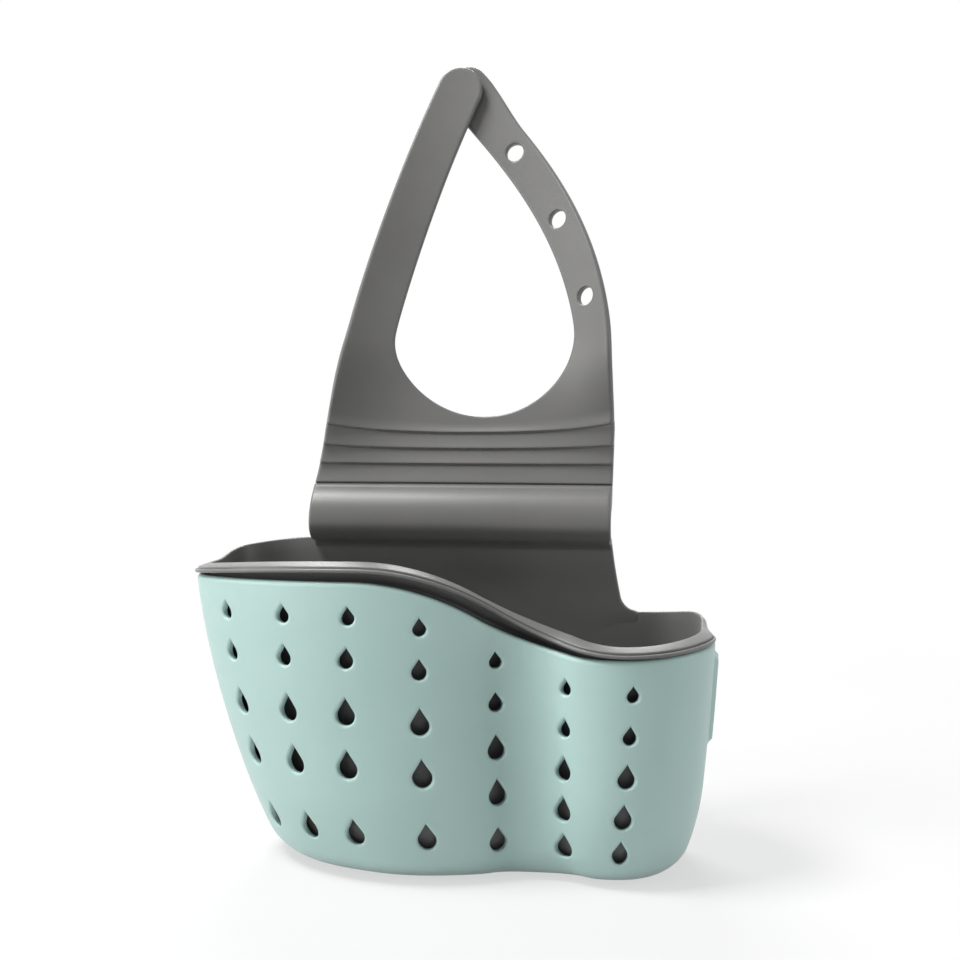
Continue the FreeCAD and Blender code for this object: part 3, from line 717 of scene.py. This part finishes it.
leftForm = {"side": -1, "root": -30.3, "bow": 2.3, "skew": 0.0, "width": 14.6,
            "short": 0.9, "endWide": 0.0}
rightForm = {"side": 1, "root": 37.6, "bow": 7.2, "skew": 0.25, "width": 12.4,
             "short": -0.2, "endWide": 2.6}
# Rows near each pleat's line, and points across and up the sheet
pleatRowsForm = {"near": (-0.6, -0.42, -0.28, -0.16, -0.06, 0.04, 0.12, 0.2, 0.3, 0.46, 0.75),
                 "first": 0.14, "clearLow": 1.15, "clearHigh": 0.9, "count": 8}
sheetCounts = {"arm": 26, "loop": 96, "armShare": 0.18, "wall": 56, "fold": 18, "yoke": 32}


def strapY(x, z):
    # leans back above the web's foot, and its edges cup forwards as a circle
    s = strapForm
    bend = smoothStep((z - s["webLow"]) / (s["cupFull"] - s["webLow"])) / s["cupRadius"]
    cup = bend * x ** 2 / (1 + np.sqrt(np.maximum(1 - (bend * x) ** 2, s["cupLeast"])))
    up, soft = z - s["webLow"], s["leanSoft"]
    ramp = np.where(up < -soft, 0.0, np.where(up > soft, up, (up + soft) ** 2 / (4 * soft)))
    return s["panelY"] + math.tan(s["lean"]) * ramp - cup


def strapFront(x, z, step=0.05):
    # unit vector out of the strap's front, from the slopes of its surface
    gx = (strapY(x + step, z) - strapY(x - step, z)) / (2 * step)
    gz = (strapY(x, z + step) - strapY(x, z - step)) / (2 * step)
    return unit(spots(gx, -1.0, gz))


def pleatLevel(x, z):
    # height of a place on the strap's middle line: pleats rise towards the cupped edges
    return z - strapForm["pleatTilt"] * (strapY(0 * x, z) - strapY(x, z))


def pleats(x, z):
    # shingled bands: each stands out most along its lower edge, falls off upwards as a square,
    # and has a narrow notch below it
    s = strapForm
    level, out = pleatLevel(x, z), 0 * x
    for low, high in zip(s["pleats"], s["pleats"][1:] + (s["pleats"][-1] + s["lastBand"],)):
        up = np.clip((level - low) / (high - low), 0.0, 1.0)
        out = out + s["bandProud"] * (1 - up) ** 2 * smoothStep((level - low) / s["lineWidth"])
        out = out - s["notch"] * np.exp(-((level - low) / s["lineWidth"]) ** 2)
    return out


def pleatRows(top):
    # levels of the web's rows: close together at each pleat's line, wider over its band
    s, r = strapForm, pleatRowsForm
    rows = [np.array([s["webLow"] + r["first"]])]
    for low, high in zip(s["pleats"], s["pleats"][1:] + (top + r["clearHigh"],)):
        rows += [low + np.array(r["near"]),
                 np.linspace(low + r["clearLow"], high - r["clearHigh"], r["count"])]
    return np.concatenate(rows)[:, None]


def halfThick(distance):
    # thickness falls to nothing at an edge as a squarish quarter ellipse
    s = strapForm
    f = np.clip(distance / s["edgeRound"], 0.0, 1.0)
    return s["thick"] / 2 * np.maximum(1 - (1 - f) ** s["edgePower"], 0.0) ** (1 / s["edgePower"])


def tailLine(tail, share):
    # middle line of a tail on the flat: a chord to the button, bowed outwards as a parabola
    t = tailForm
    runX, runZ = t["buttonX"] - tail["root"], t["buttonZ"] - t["rootZ"]
    length = math.hypot(runX, runZ)
    swell = 4 * tail["bow"] * share * (1 - share) * (1 + tail["skew"] * (1 - 2 * share)) * tail["side"]
    return (tail["root"] + runX * share + swell * runZ / length,
            t["rootZ"] + runZ * share - swell * runX / length)


def tailEdges(tail, share, step=0.01):
    # left and right edge of a tail, square to its middle line on the cupped surface
    def spot(k):  # point of the middle line on the cupped surface
        x, z = tailLine(tail, k)
        return spots(x, strapY(x, z), z)

    along = unit(spot(share + step) - spot(share - step))
    x, z = tailLine(tail, share)
    across = np.cross(strapFront(x, z), along)
    across *= np.sign(across[..., :1]) / np.linalg.norm(across, axis=-1, keepdims=True)
    half = tail["width"] / 2
    middle = spots(x, z)
    side = across[..., [0, 2]] * half
    return middle - side, middle + side, along


def rootEdges(tail):
    # left edge, right edge and direction of a tail at its root
    return [row[0] for row in tailEdges(tail, np.array([0.0]))]


def loopCircle():
    # circle through the two tails' inner root corners and the loop's lowest point
    t, s = tailForm, strapForm
    corners = []
    for tail in (leftForm, rightForm):
        left, right, along = rootEdges(tail)
        inner = (left, right)[tail["side"] < 0] - along[[0, 2]] * t["cornerDrop"]
        corners.append(inner - np.array([tail["side"] * t["loopInset"], 0]))
    p, q, r = corners[0], corners[1], np.array([s["loopX"], s["loopBottom"]])
    m = 2 * np.array([q - p, r - p])
    middle = np.linalg.solve(m, [q @ q - p @ p, r @ r - p @ p])
    return middle, np.linalg.norm(r - middle)


loopMiddle, loopRadius = loopCircle()
print("loop", loopMiddle.round(2), round(float(loopRadius), 2))


def outerEdge(z, side):
    # side edge of the strap: panel, web, then straight to the tail's root corner
    s = strapForm
    tail, which, foot = (leftForm, 0, -s["left"]) if side < 0 else (rightForm, 1, s["right"])
    rootEdge = rootEdges(tail)[which]
    levels = [s["webLow"], s["webHigh"], rootEdge[1]]
    edge = np.interp(z, levels, [foot, side * s["yoke"], rootEdge[0]])
    if side < 0:
        return edge
    # the right edge slants outwards below the roll, then turns out to the rim as a quarter circle
    low = np.clip((s["slantTop"] - z) / s["slantRun"], 0.0, 1.0)
    edge = edge + s["slant"] * low ** s["slantPower"]
    corner = np.array(s["right"] + s["slant"] + s["flare"])
    flareTop = float(rimHeight(corner, linerRim)) + linerRim["back"] + s["flare"]
    fall = np.clip(flareTop - z, 0, s["flare"])
    return edge + s["flare"] - np.sqrt(s["flare"] ** 2 - fall ** 2)


def bothEdges(z):
    # left and right side edges of the strap at a height
    return outerEdge(z, -1), outerEdge(z, 1)


def closeUp():
    # shares across an arm, close together at both its edges, as half a cosine wave
    count = sheetCounts["arm"]
    return (1 - np.cos(math.pi * np.arange(count + 1) / count)) / 2


def sheetShares():
    # columns close up at both edges and where the arms meet the loop
    c, close = sheetCounts, closeUp()
    across = c["armShare"] + (1 - 2 * c["armShare"]) * np.arange(1, c["loop"]) / c["loop"]
    return np.concatenate([c["armShare"] * close, across, 1 - c["armShare"] * close[::-1]])


def foldRows(count):
    # three tangent arcs: out of the upright wall, round the roll, back to upright
    s = strapForm
    foot = 2 * math.atan(s["rollDepth"] / (s["rollPeak"] - s["rollLow"]))
    head = 2 * math.atan(s["rollDepth"] / (s["webLow"] - s["rollPeak"]))
    crownR = s["rollDepth"] / (1 - math.cos(foot)) - s["rollFoot"]
    headR = s["rollDepth"] / (1 - math.cos(head)) - crownR
    y, z, turn = [], [], []
    for my, mz, reach, start, end in (
            (s["panelY"] - s["rollFoot"], s["rollLow"], s["rollFoot"], 0.0, foot),
            (s["panelY"] - s["rollDepth"] + crownR, s["rollPeak"], -crownR, foot, -head),
            (s["panelY"] - headR, s["webLow"], headR, -head, 0.0)):
        a = np.linspace(start, end, count)[1:]
        y.append(my + reach * np.cos(a))
        z.append(mz + reach * np.sin(a))
        turn.append(a)
    return np.concatenate(y), np.concatenate(z), np.concatenate(turn)


def rollSwell(y, z, ny, nz):
    # how far the roll's full front stands off the fold: an arc from its crown up to the lowest
    # pleat, met by a line along the fold's own front vector
    s = strapForm
    top = s["pleats"][0]
    run, rise = float(strapY(0.0, top)) - s["panelY"] + s["rollDepth"], top - s["rollPeak"]
    radius = (run ** 2 + rise ** 2) / (2 * run)
    half = s["thick"] / 2
    dy = y + ny * half - (s["panelY"] - s["rollDepth"] - half + radius)
    dz = z + nz * half - s["rollPeak"]
    along = dy * ny + dz * nz
    reach = np.maximum(along ** 2 - dy ** 2 - dz ** 2 + radius ** 2, 0.0)
    return np.where(z > s["rollPeak"], np.maximum(np.sqrt(reach) - along, 0.0), 0.0)


def panelSheet():
    # foot and fold: rows of a section carried across, with its front vector and half thickness
    s = strapForm
    shares = sheetShares()[None, :]
    foldY, foldZ, turn = foldRows(sheetCounts["fold"])
    wall = np.linspace(0, 1, sheetCounts["wall"])[:, None]
    x = between(-s["left"], s["right"], shares)
    bottom = rimHeight(x, linerRim) + linerRim["back"] - s["sunk"]
    z = np.vstack([between(bottom, s["rollLow"], wall), foldZ[:, None] + 0 * shares])
    y = np.concatenate([np.full(len(wall), s["panelY"]), foldY])[:, None] + 0 * shares
    y[:len(wall)] += drawnIn("backReach", z[:len(wall)]) - planForm["backReach"][0]
    turn = np.concatenate([np.zeros(len(wall)), turn])[:, None] + 0 * shares
    left, right = bothEdges(z)
    x = between(left, right, shares)
    front = spots(0.0, -np.cos(turn), -np.sin(turn))
    half = halfThick(np.minimum(x - left, right - x))
    above = z - rimHeight(x, linerRim) - linerRim["back"]
    sunk = s["sunkThin"] + (1 - s["sunkThin"]) * smoothStep((above - s["sunkTop"]) / s["sunk"] + 1.0)
    aside = smoothStep(1 - np.minimum(x - left, right - x) / s["tuckRun"])
    y = y + s["tuck"] * smoothStep(-above / s["tuckSoft"]) * aside
    swell = rollSwell(y, z, front[..., 1], front[..., 2])
    return spots(x, y, z), front, half * sunk, swell


def yokeSheet():
    # web rows, then a patch between the web's top line and the loop with its two arms
    s, c = strapForm, sheetCounts
    shares = sheetShares()[None, :]
    level = pleatRows(s["webTop"])
    webZ = level + 0 * shares
    for _ in range(4):  # place across and height settle together
        webX = between(*bothEdges(webZ), shares)
        webZ = webZ + level - pleatLevel(webX, webZ)
    seam = s["seamZ"]
    reach = math.sqrt(loopRadius ** 2 - (seam - loopMiddle[1]) ** 2)
    close = closeUp()
    edgeL, edgeR = bothEdges(seam)
    inL, inR = loopMiddle[0] - reach, loopMiddle[0] + reach
    start = math.atan2(seam - loopMiddle[1], -reach) % (2 * math.pi)
    end = math.atan2(seam - loopMiddle[1], reach) % (2 * math.pi)
    arc = start + (end - start) * np.arange(1, c["loop"]) / c["loop"]
    topX = np.concatenate([between(edgeL, inL, close), loopMiddle[0] + loopRadius * np.cos(arc),
                           between(inR, edgeR, 1 - close[::-1])])
    armTop = np.full(len(close), seam)
    topZ = np.concatenate([armTop, loopMiddle[1] + loopRadius * np.sin(arc), armTop])
    t = (1 - (1 - np.arange(1, c["yoke"] + 1) / c["yoke"]) ** 2)[:, None]
    sideZ = [between(webZ[-1, k], seam, t) for k in (0, -1)]
    sideX = [outerEdge(sideZ[0], -1), outerEdge(sideZ[1], 1)]

    def patch(bottom, top, sides):  # blend of four border curves
        flat = (1 - t) * bottom + t * top
        lean = (1 - shares) * (sides[0] - flat[:, :1]) + shares * (sides[1] - flat[:, -1:])
        return flat + lean

    x = np.vstack([webX, patch(webX[-1], topX, sideX)])
    z = np.vstack([webZ, patch(webZ[-1], topZ, sideZ)])
    left, right = bothEdges(z)
    away = np.minimum(x - left, right - x)
    loop = np.hypot(x - loopMiddle[0], z - loopMiddle[1]) - loopRadius
    loop[-1, c["arm"]:c["arm"] + c["loop"] + 1] = 0.0
    away[:, [0, -1]] = 0.0
    half = halfThick(np.maximum(np.minimum(away, loop), 0.0))
    y = strapY(x, z)
    swell = np.where(z < s["pleats"][0], rollSwell(y, z, -1.0, 0.0), 0.0)
    return spots(x, y, z), strapFront(x, z), half, pleats(x, z) + swell


def closedSheet(middle, front, half, relief):
    # front and back skins; they meet where the thickness is nothing, and end caps close the rest
    fade = half / half.max()
    frontSkin = middle + front * (half + relief * fade)[..., None]
    backSkin = middle - front * (half - strapForm["backRelief"] * relief * fade)[..., None]
    caps = [np.stack([frontSkin[k], backSkin[k]]) for k in (0, -1)]
    return [(frontSkin, False), (backSkin, False)] + [(cap, False) for cap in caps]


strapParts = [np.concatenate(pair) for pair in zip(panelSheet(), yokeSheet())]
strap = makePiece("pleatedStrap", closedSheet(*strapParts), greyRubber, meshForm["softSharp"])
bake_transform(strap)
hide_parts("strap_root", "pleat_web", "loop_yoke")


def faired(points, reach):
    # rounds a corner by a bell-shaped average along the line, none of it near the line's ends
    length = runLength(points)
    weight = np.exp(-((length[:, None] - length) / reach) ** 2 / 2) * np.gradient(length)
    soft = weight @ points / weight.sum(1, keepdims=True)
    fade = smoothStep(length / (2 * reach)) * smoothStep((length[-1] - length) / (2 * reach))
    return points + (soft - points) * fade[:, None]


def tailTable(tail):
    # edges of a tail from the seam on the yoke, past its root, to beyond its round end
    t, s, side = tailForm, strapForm, tail["side"]
    share = np.linspace(0, 1, t["lineCount"])
    left, right, along = tailEdges(tail, share)
    armZ = np.linspace(s["seamZ"], t["rootZ"] - t["cornerDrop"], t["armCount"])
    reach = np.sqrt(np.maximum(loopRadius ** 2 - (armZ - loopMiddle[1]) ** 2, 0))
    outer = (left, right)[side > 0]
    outerZ = s["seamZ"] + (outer[0, 1] - s["seamZ"]) * (armZ - armZ[0]) / (armZ[-1] - armZ[0])
    outArm = spots(outerEdge(outerZ, side), outerZ)[:-1]
    inArm = spots(loopMiddle[0] + side * reach, armZ)[:-1]
    arms = (outArm, inArm) if side < 0 else (inArm, outArm)
    left, right = (faired(np.concatenate([a, e]), t["fairing"]) for a, e in zip(arms, (left, right)))
    middle = (left + right) / 2
    shares = np.concatenate([np.zeros(len(outArm)), share])
    # the outer edge spreads towards the end
    spread = tail["endWide"] * smoothStep((shares - t["wideStart"]) / (1 - t["wideStart"]))
    across = unit(right - left) * spread[:, None]
    left, right = left - across * (side < 0), right + across * (side > 0)
    x, z = middle.T
    length = runLength(spots(x, strapY(x, z), z))
    beyond = along[-1][[0, 2]] * tail["width"]
    left, right = np.vstack([left, left[-1] + beyond]), np.vstack([right, right[-1] + beyond])
    lengths = np.append(length, length[-1] + tail["width"])
    squeeze = tail["width"] / (tail["width"] + tail["endWide"])
    return {"length": lengths, "left": left, "right": right, "share": np.append(shares, 1.0),
            "squeeze": squeeze, "buttonU": -side * tail["endWide"] * squeeze / 2,
            "button": length[-1], "end": length[-1] - tail["short"],
            "root": length[len(outArm)], "width": tail["width"]}


def tailPoint(table, lift, across, along, depth):
    # across and along the tail in millimetres; depth runs from the front skin to the back skin
    t = tailForm
    f = across / table["width"] + 0.5
    x, z = (between(*(np.interp(along, table["length"], table[k][:, n]) for k in ("left", "right")), f)
            for n in (0, 1))
    share = np.interp(along, table["length"], table["share"])
    out = lift * smoothStep(share / t["liftShare"]) - depth
    return spots(x, strapY(x, z), z) + strapFront(x, z) * out[..., None]


def tailGrids(table, lift, holes, endHole):
    # plain stretches, cells with holes, rounded side borders and a round end
    t, s = tailForm, strapForm
    flat = table["width"] / 2 - t["side"]
    h, e = s["thick"] / 2, t["holeEdge"]
    rings = [(1, 0, -h)] + [(spread, e, -h) for spread in t["holeRings"]]
    rings = bothFaces(rings + [(0, e * grow, e * down - h) for grow, down in t["edgeCurve"]], 0.0)
    endStart = table["end"] - flat
    cells = [(m - flat, m + flat) for m in holes]
    stops = sorted([0.0, endStart] + [v for cell in cells for v in cell])
    spans = list(zip(stops, stops[1:]))
    grids, sideRows = [], []

    def place(u, v, depth):  # a point of this tail
        return tailPoint(table, lift, u, v, depth)

    def holeCell(edge, middle, scale):  # a cell with its round hole
        patch = holePatch(edge, np.array(middle), scale, t["holeRadius"], t["holeRadius"], rings)
        return place(*patch), True

    line = np.linspace(-flat, flat, cellSide + 1)
    for low, high in spans:
        isHole = any(abs(low - c[0]) < 1e-6 for c in cells)
        count = cellSide if isHole else max(int((high - low) / t["rowStep"]), 2)
        rows = np.linspace(low, high, count + 1)
        sideRows.append(rows if not sideRows else rows[1:])
        if isHole:
            edge = cellEdge((-flat, flat, flat, -flat), (low, low, high, high), cellSide, cellSide)
            grids.append(holeCell(edge, (0.0, (low + high) / 2), 1.0))
        else:
            u, v = np.meshgrid(line, rows)
            grids += [(place(u, v, depth), False) for depth in (-h, h)]
    # round end: the cell's border is a straight foot and a half circle
    f = np.arange(cellSide) / cellSide
    turn = np.linspace(-math.pi / 4, math.pi * 5 / 4, 3 * cellSide + 1)
    straight = (turn < 0) | (turn > math.pi)
    reach = np.where(straight, flat / np.maximum(np.abs(np.cos(turn)), 1e-3), flat)
    bow = spots(reach * np.cos(turn), table["end"] + reach * np.sin(turn))
    edge = np.concatenate([spots(-flat + 2 * flat * f, endStart), bow[:-1]])
    middle = np.array([0.0, table["end"]])
    if endHole:
        squeeze = np.array([table["squeeze"], 1.0])
        grids.append(holeCell(edge, (table["buttonU"], table["button"]), squeeze))
    else:
        ring = np.linspace(1, 0, t["endRings"])[:, None]
        u, v = (middle[k] + (edge[:, k] - middle[k]) * ring for k in (0, 1))
        grids += [(place(u, v, depth), True) for depth in (-h, h)]
    # rounded border: up the right side, round the end, down the left side
    rows = np.concatenate(sideRows)
    path = np.concatenate([spots(flat, rows)[:-1], bow, spots(-flat, rows)[::-1][1:]])
    out = spots(np.sign(path[:, 0]), 0.0)
    atEnd = path[:, 1] > table["end"]
    out[atEnd] = (path[atEnd] - middle) / flat
    a = np.linspace(-math.pi / 2, math.pi / 2, t["borderCount"])[:, None]
    power = 2 / s["edgePower"]
    grow = t["side"] * np.maximum(np.cos(a), 0) ** power
    drop = h * np.sign(np.sin(a)) * np.abs(np.sin(a)) ** power
    u, v = path[:, 0] + out[:, 0] * grow, path[:, 1] + out[:, 1] * grow
    grids.append((place(u, v, drop), False))
    # cap on the seam
    foot = np.stack([line, line])
    grids.append((place(foot, 0 * foot, np.array([[-h], [h]])), False))
    middleRow = t["borderCount"] // 2
    front, back = slice(middleRow + 1), slice(None, middleRow - 1, -1)
    d = np.stack([drop[front, 0], drop[back, 0]])
    for sign in (-1, 1):
        u = np.stack([sign * (flat + grow[front, 0]), sign * (flat + grow[back, 0])])
        grids.append((place(u, 0 * u, d), False))
    return grids


def tailFrame(tail):
    # root point and along direction of a tail
    x, z = (v[0] for v in tailLine(tail, np.array([0.0])))
    return spots(x, strapY(x, z), z), rootEdges(tail)[2]


leftLift = strapForm["thick"] + tailForm["gap"]
tails = {}
for name, tail, body, node, lift in (("buttonTail", leftForm, "left_tail", "button_tail", leftLift),
                                     ("holeTail", rightForm, "right_tail", "hole_tail", 0.0)):
    table = tailTable(tail)
    run = table["button"] - table["root"]
    holed = tail["side"] > 0
    holes = [table["root"] + run * h for h in tailForm["holeShares"]] if holed else []
    piece = makePiece(name, tailGrids(table, lift, holes, holed), greyRubber, meshForm["softSharp"])
    point, along = tailFrame(tail)
    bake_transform(piece)
    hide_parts(node)
    tails[name] = table

# Mushroom stud on the back of the left tail
studForm = {"neck": 2.3, "head": 3.7, "headHeight": 2.2, "headGap": 0.4, "headSoft": 0.3,
            "headEdge": 0.2, "footFlare": (0.3, 0.05), "footHeights": (-0.5, -0.05, 0.4),
            "domeRows": 12, "sides": 48}


def studGrid():
    # a turned section: neck, flat shoulder with a soft edge, domed crown
    s, table = studForm, tails["buttonTail"]
    end = np.array([table["button"]])
    h = strapForm["thick"] / 2
    spot = tailPoint(table, leftLift, 0 * end, end, 0.0)[0]
    back = tailPoint(table, leftLift, 0 * end, end, 1.0)[0] - spot
    neck = tailForm["gap"] + strapForm["thick"] + s["headGap"]
    a = np.radians(np.linspace(0, 90, s["domeRows"]))
    foot = [s["neck"] + flare for flare in s["footFlare"]]
    radius = np.concatenate([[0, *foot, s["neck"], s["head"] - s["headSoft"]], s["head"] * np.cos(a)])
    dome = neck + s["headEdge"] + (s["headHeight"] - s["headEdge"]) * np.sin(a)
    height = np.concatenate([[*s["footHeights"], neck, neck], dome])
    side = unit(np.cross(back, [0, 0, 1.0]))
    other = np.cross(back, side)
    turn = np.arange(s["sides"]) * 2 * math.pi / s["sides"]
    ring = np.cos(turn)[:, None] * side + np.sin(turn)[:, None] * other
    return spot + back * (h + height)[:, None, None] + ring * radius[:, None, None]


stud = makePiece("snapStud", [(studGrid(), True)], greyRubber)
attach(stud, "left_tail")
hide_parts("snap_stud")

# Stage: pale floor that fades into the background, soft light from the upper left
stageForm = {
    "size": 3.0, "drop": -0.0003, "colour": 0.6, "rough": 0.9,
    "shade": 0.6, "fadeStart": 0.10, "fadeEnd": 0.55, "world": 0.235,
}
# each lamp's place, target, size and power
lamps = {
    "keyLamp": ((-0.34, -0.20, 0.85), (-0.01, 0.0, 0.09), (0.30, 0.30), 9.5),
    "leftLamp": ((-0.92, -0.52, 0.18), (0, 0, 0.09), (0.6, 0.6), 6.2),
    "rightLamp": ((1.0, -0.02, 0.3), (0, 0, 0.1), (0.4, 0.7), 2.6),
    "backLamp": ((-0.15, 0.62, 0.75), (0, 0, 0.09), (0.5, 0.4), 6.0),
}


def seenRays(tree):
    # 1 for rays of the camera, gloss and glass, 0 for the light that falls on things
    path = addNode(tree, "ShaderNodeLightPath").outputs
    rays = path["Is Camera Ray"]
    for other in ("Is Glossy Ray", "Is Transmission Ray"):
        either = addNode(tree, "ShaderNodeMath", {0: rays, 1: path[other]}, operation="MAXIMUM")
        rays = either.outputs[0]
    return rays


def paleFloor():
    # square floor: lit and shaded near the object, plain white further out
    f = stageForm
    mesh = bpy.data.meshes.new("paleFloor")
    r = f["size"]
    mesh.from_pydata([(-r, -r, 0), (r, -r, 0), (r, r, 0), (-r, r, 0)], [], [(0, 1, 2, 3)])
    mesh.transform(Matrix.Translation((0, 0, f["drop"])))
    material, tree, shader = newMaterial("paleFloor")
    feed(tree, shader, {"Base Color": (f["colour"],) * 3 + (1,), "Roughness": f["rough"]})
    place = addNode(tree, "ShaderNodeTexCoord").outputs["Object"]
    away = addNode(tree, "ShaderNodeVectorMath", {0: place}, operation="LENGTH").outputs["Value"]
    values = {"Value": away, "To Min": f["shade"],
              "From Min": f["fadeStart"], "From Max": f["fadeEnd"]}
    fade = addNode(tree, "ShaderNodeMapRange", values, interpolation_type="SMOOTHSTEP")
    factors = {0: fade.outputs["Result"], 1: seenRays(tree)}
    share = addNode(tree, "ShaderNodeMath", factors, operation="MULTIPLY").outputs[0]
    glow = addNode(tree, "ShaderNodeEmission", {"Strength": 1.0}).outputs[0]
    mix = addNode(tree, "ShaderNodeMixShader", {0: share, 1: shader.outputs[0], 2: glow})
    feed(tree, tree.nodes["Material Output"], {"Surface": mix.outputs[0]})
    mesh.materials.append(material)
    floor = inScene("paleFloor", mesh)


def whiteWorld(level):
    # plain light on the object; white where the camera, gloss or glass looks at it
    world = bpy.data.worlds.new("whiteWorld")
    bpy.context.scene.world = world
    world.use_nodes = True
    tree = world.node_tree
    strength = mixed(tree, seenRays(tree), level, 1.0)
    feed(tree, tree.nodes["Background"], {"Color": (1, 1, 1, 1), "Strength": strength})


def softLamp(name, place, target, size, power):
    # a lamp with a broad square face, turned to its target
    data = bpy.data.lights.new(name, "AREA")
    data.shape = "RECTANGLE"
    data.size, data.size_y = size
    data.energy = power
    lamp = inScene(name, data)
    lamp.location = place
    lamp.rotation_euler = (Vector(target) - Vector(place)).to_track_quat("-Z", "Y").to_euler()


paleFloor()
whiteWorld(stageForm["world"])
for name, values in lamps.items():
    softLamp(name, *values)

# Camera at the photograph's angle
cameraForm = {"distance": 0.4, "azimuth": 10.0, "height": 0.126, "focal": 1421.0, "horizon": 417.0,
              "axisX": 452.5, "frame": 960.0, "sensor": 36.0, "clip": (0.01, 20.0)}


def photoCamera():
    # a level turn about the part's axis, with the pitch that puts the horizon on its row of the frame
    c = cameraForm
    data = bpy.data.cameras.new("photoCamera")
    data.sensor_width = c["sensor"]
    data.lens = c["sensor"] * c["focal"] / c["frame"]
    data.shift_x = (c["frame"] / 2 - c["axisX"]) / c["frame"]
    data.clip_start, data.clip_end = c["clip"]
    camera = inScene("photoCamera", data)
    turn = math.radians(c["azimuth"])
    camera.location = (c["distance"] * math.sin(turn), -c["distance"] * math.cos(turn), c["height"])
    pitch = math.atan((c["frame"] / 2 - c["horizon"]) / c["focal"])
    camera.rotation_euler = (math.pi / 2 - pitch, 0, turn)
    bpy.context.scene.camera = camera


photoCamera()
bpy.context.scene.view_settings.view_transform = "Standard"
print("stage and camera made")
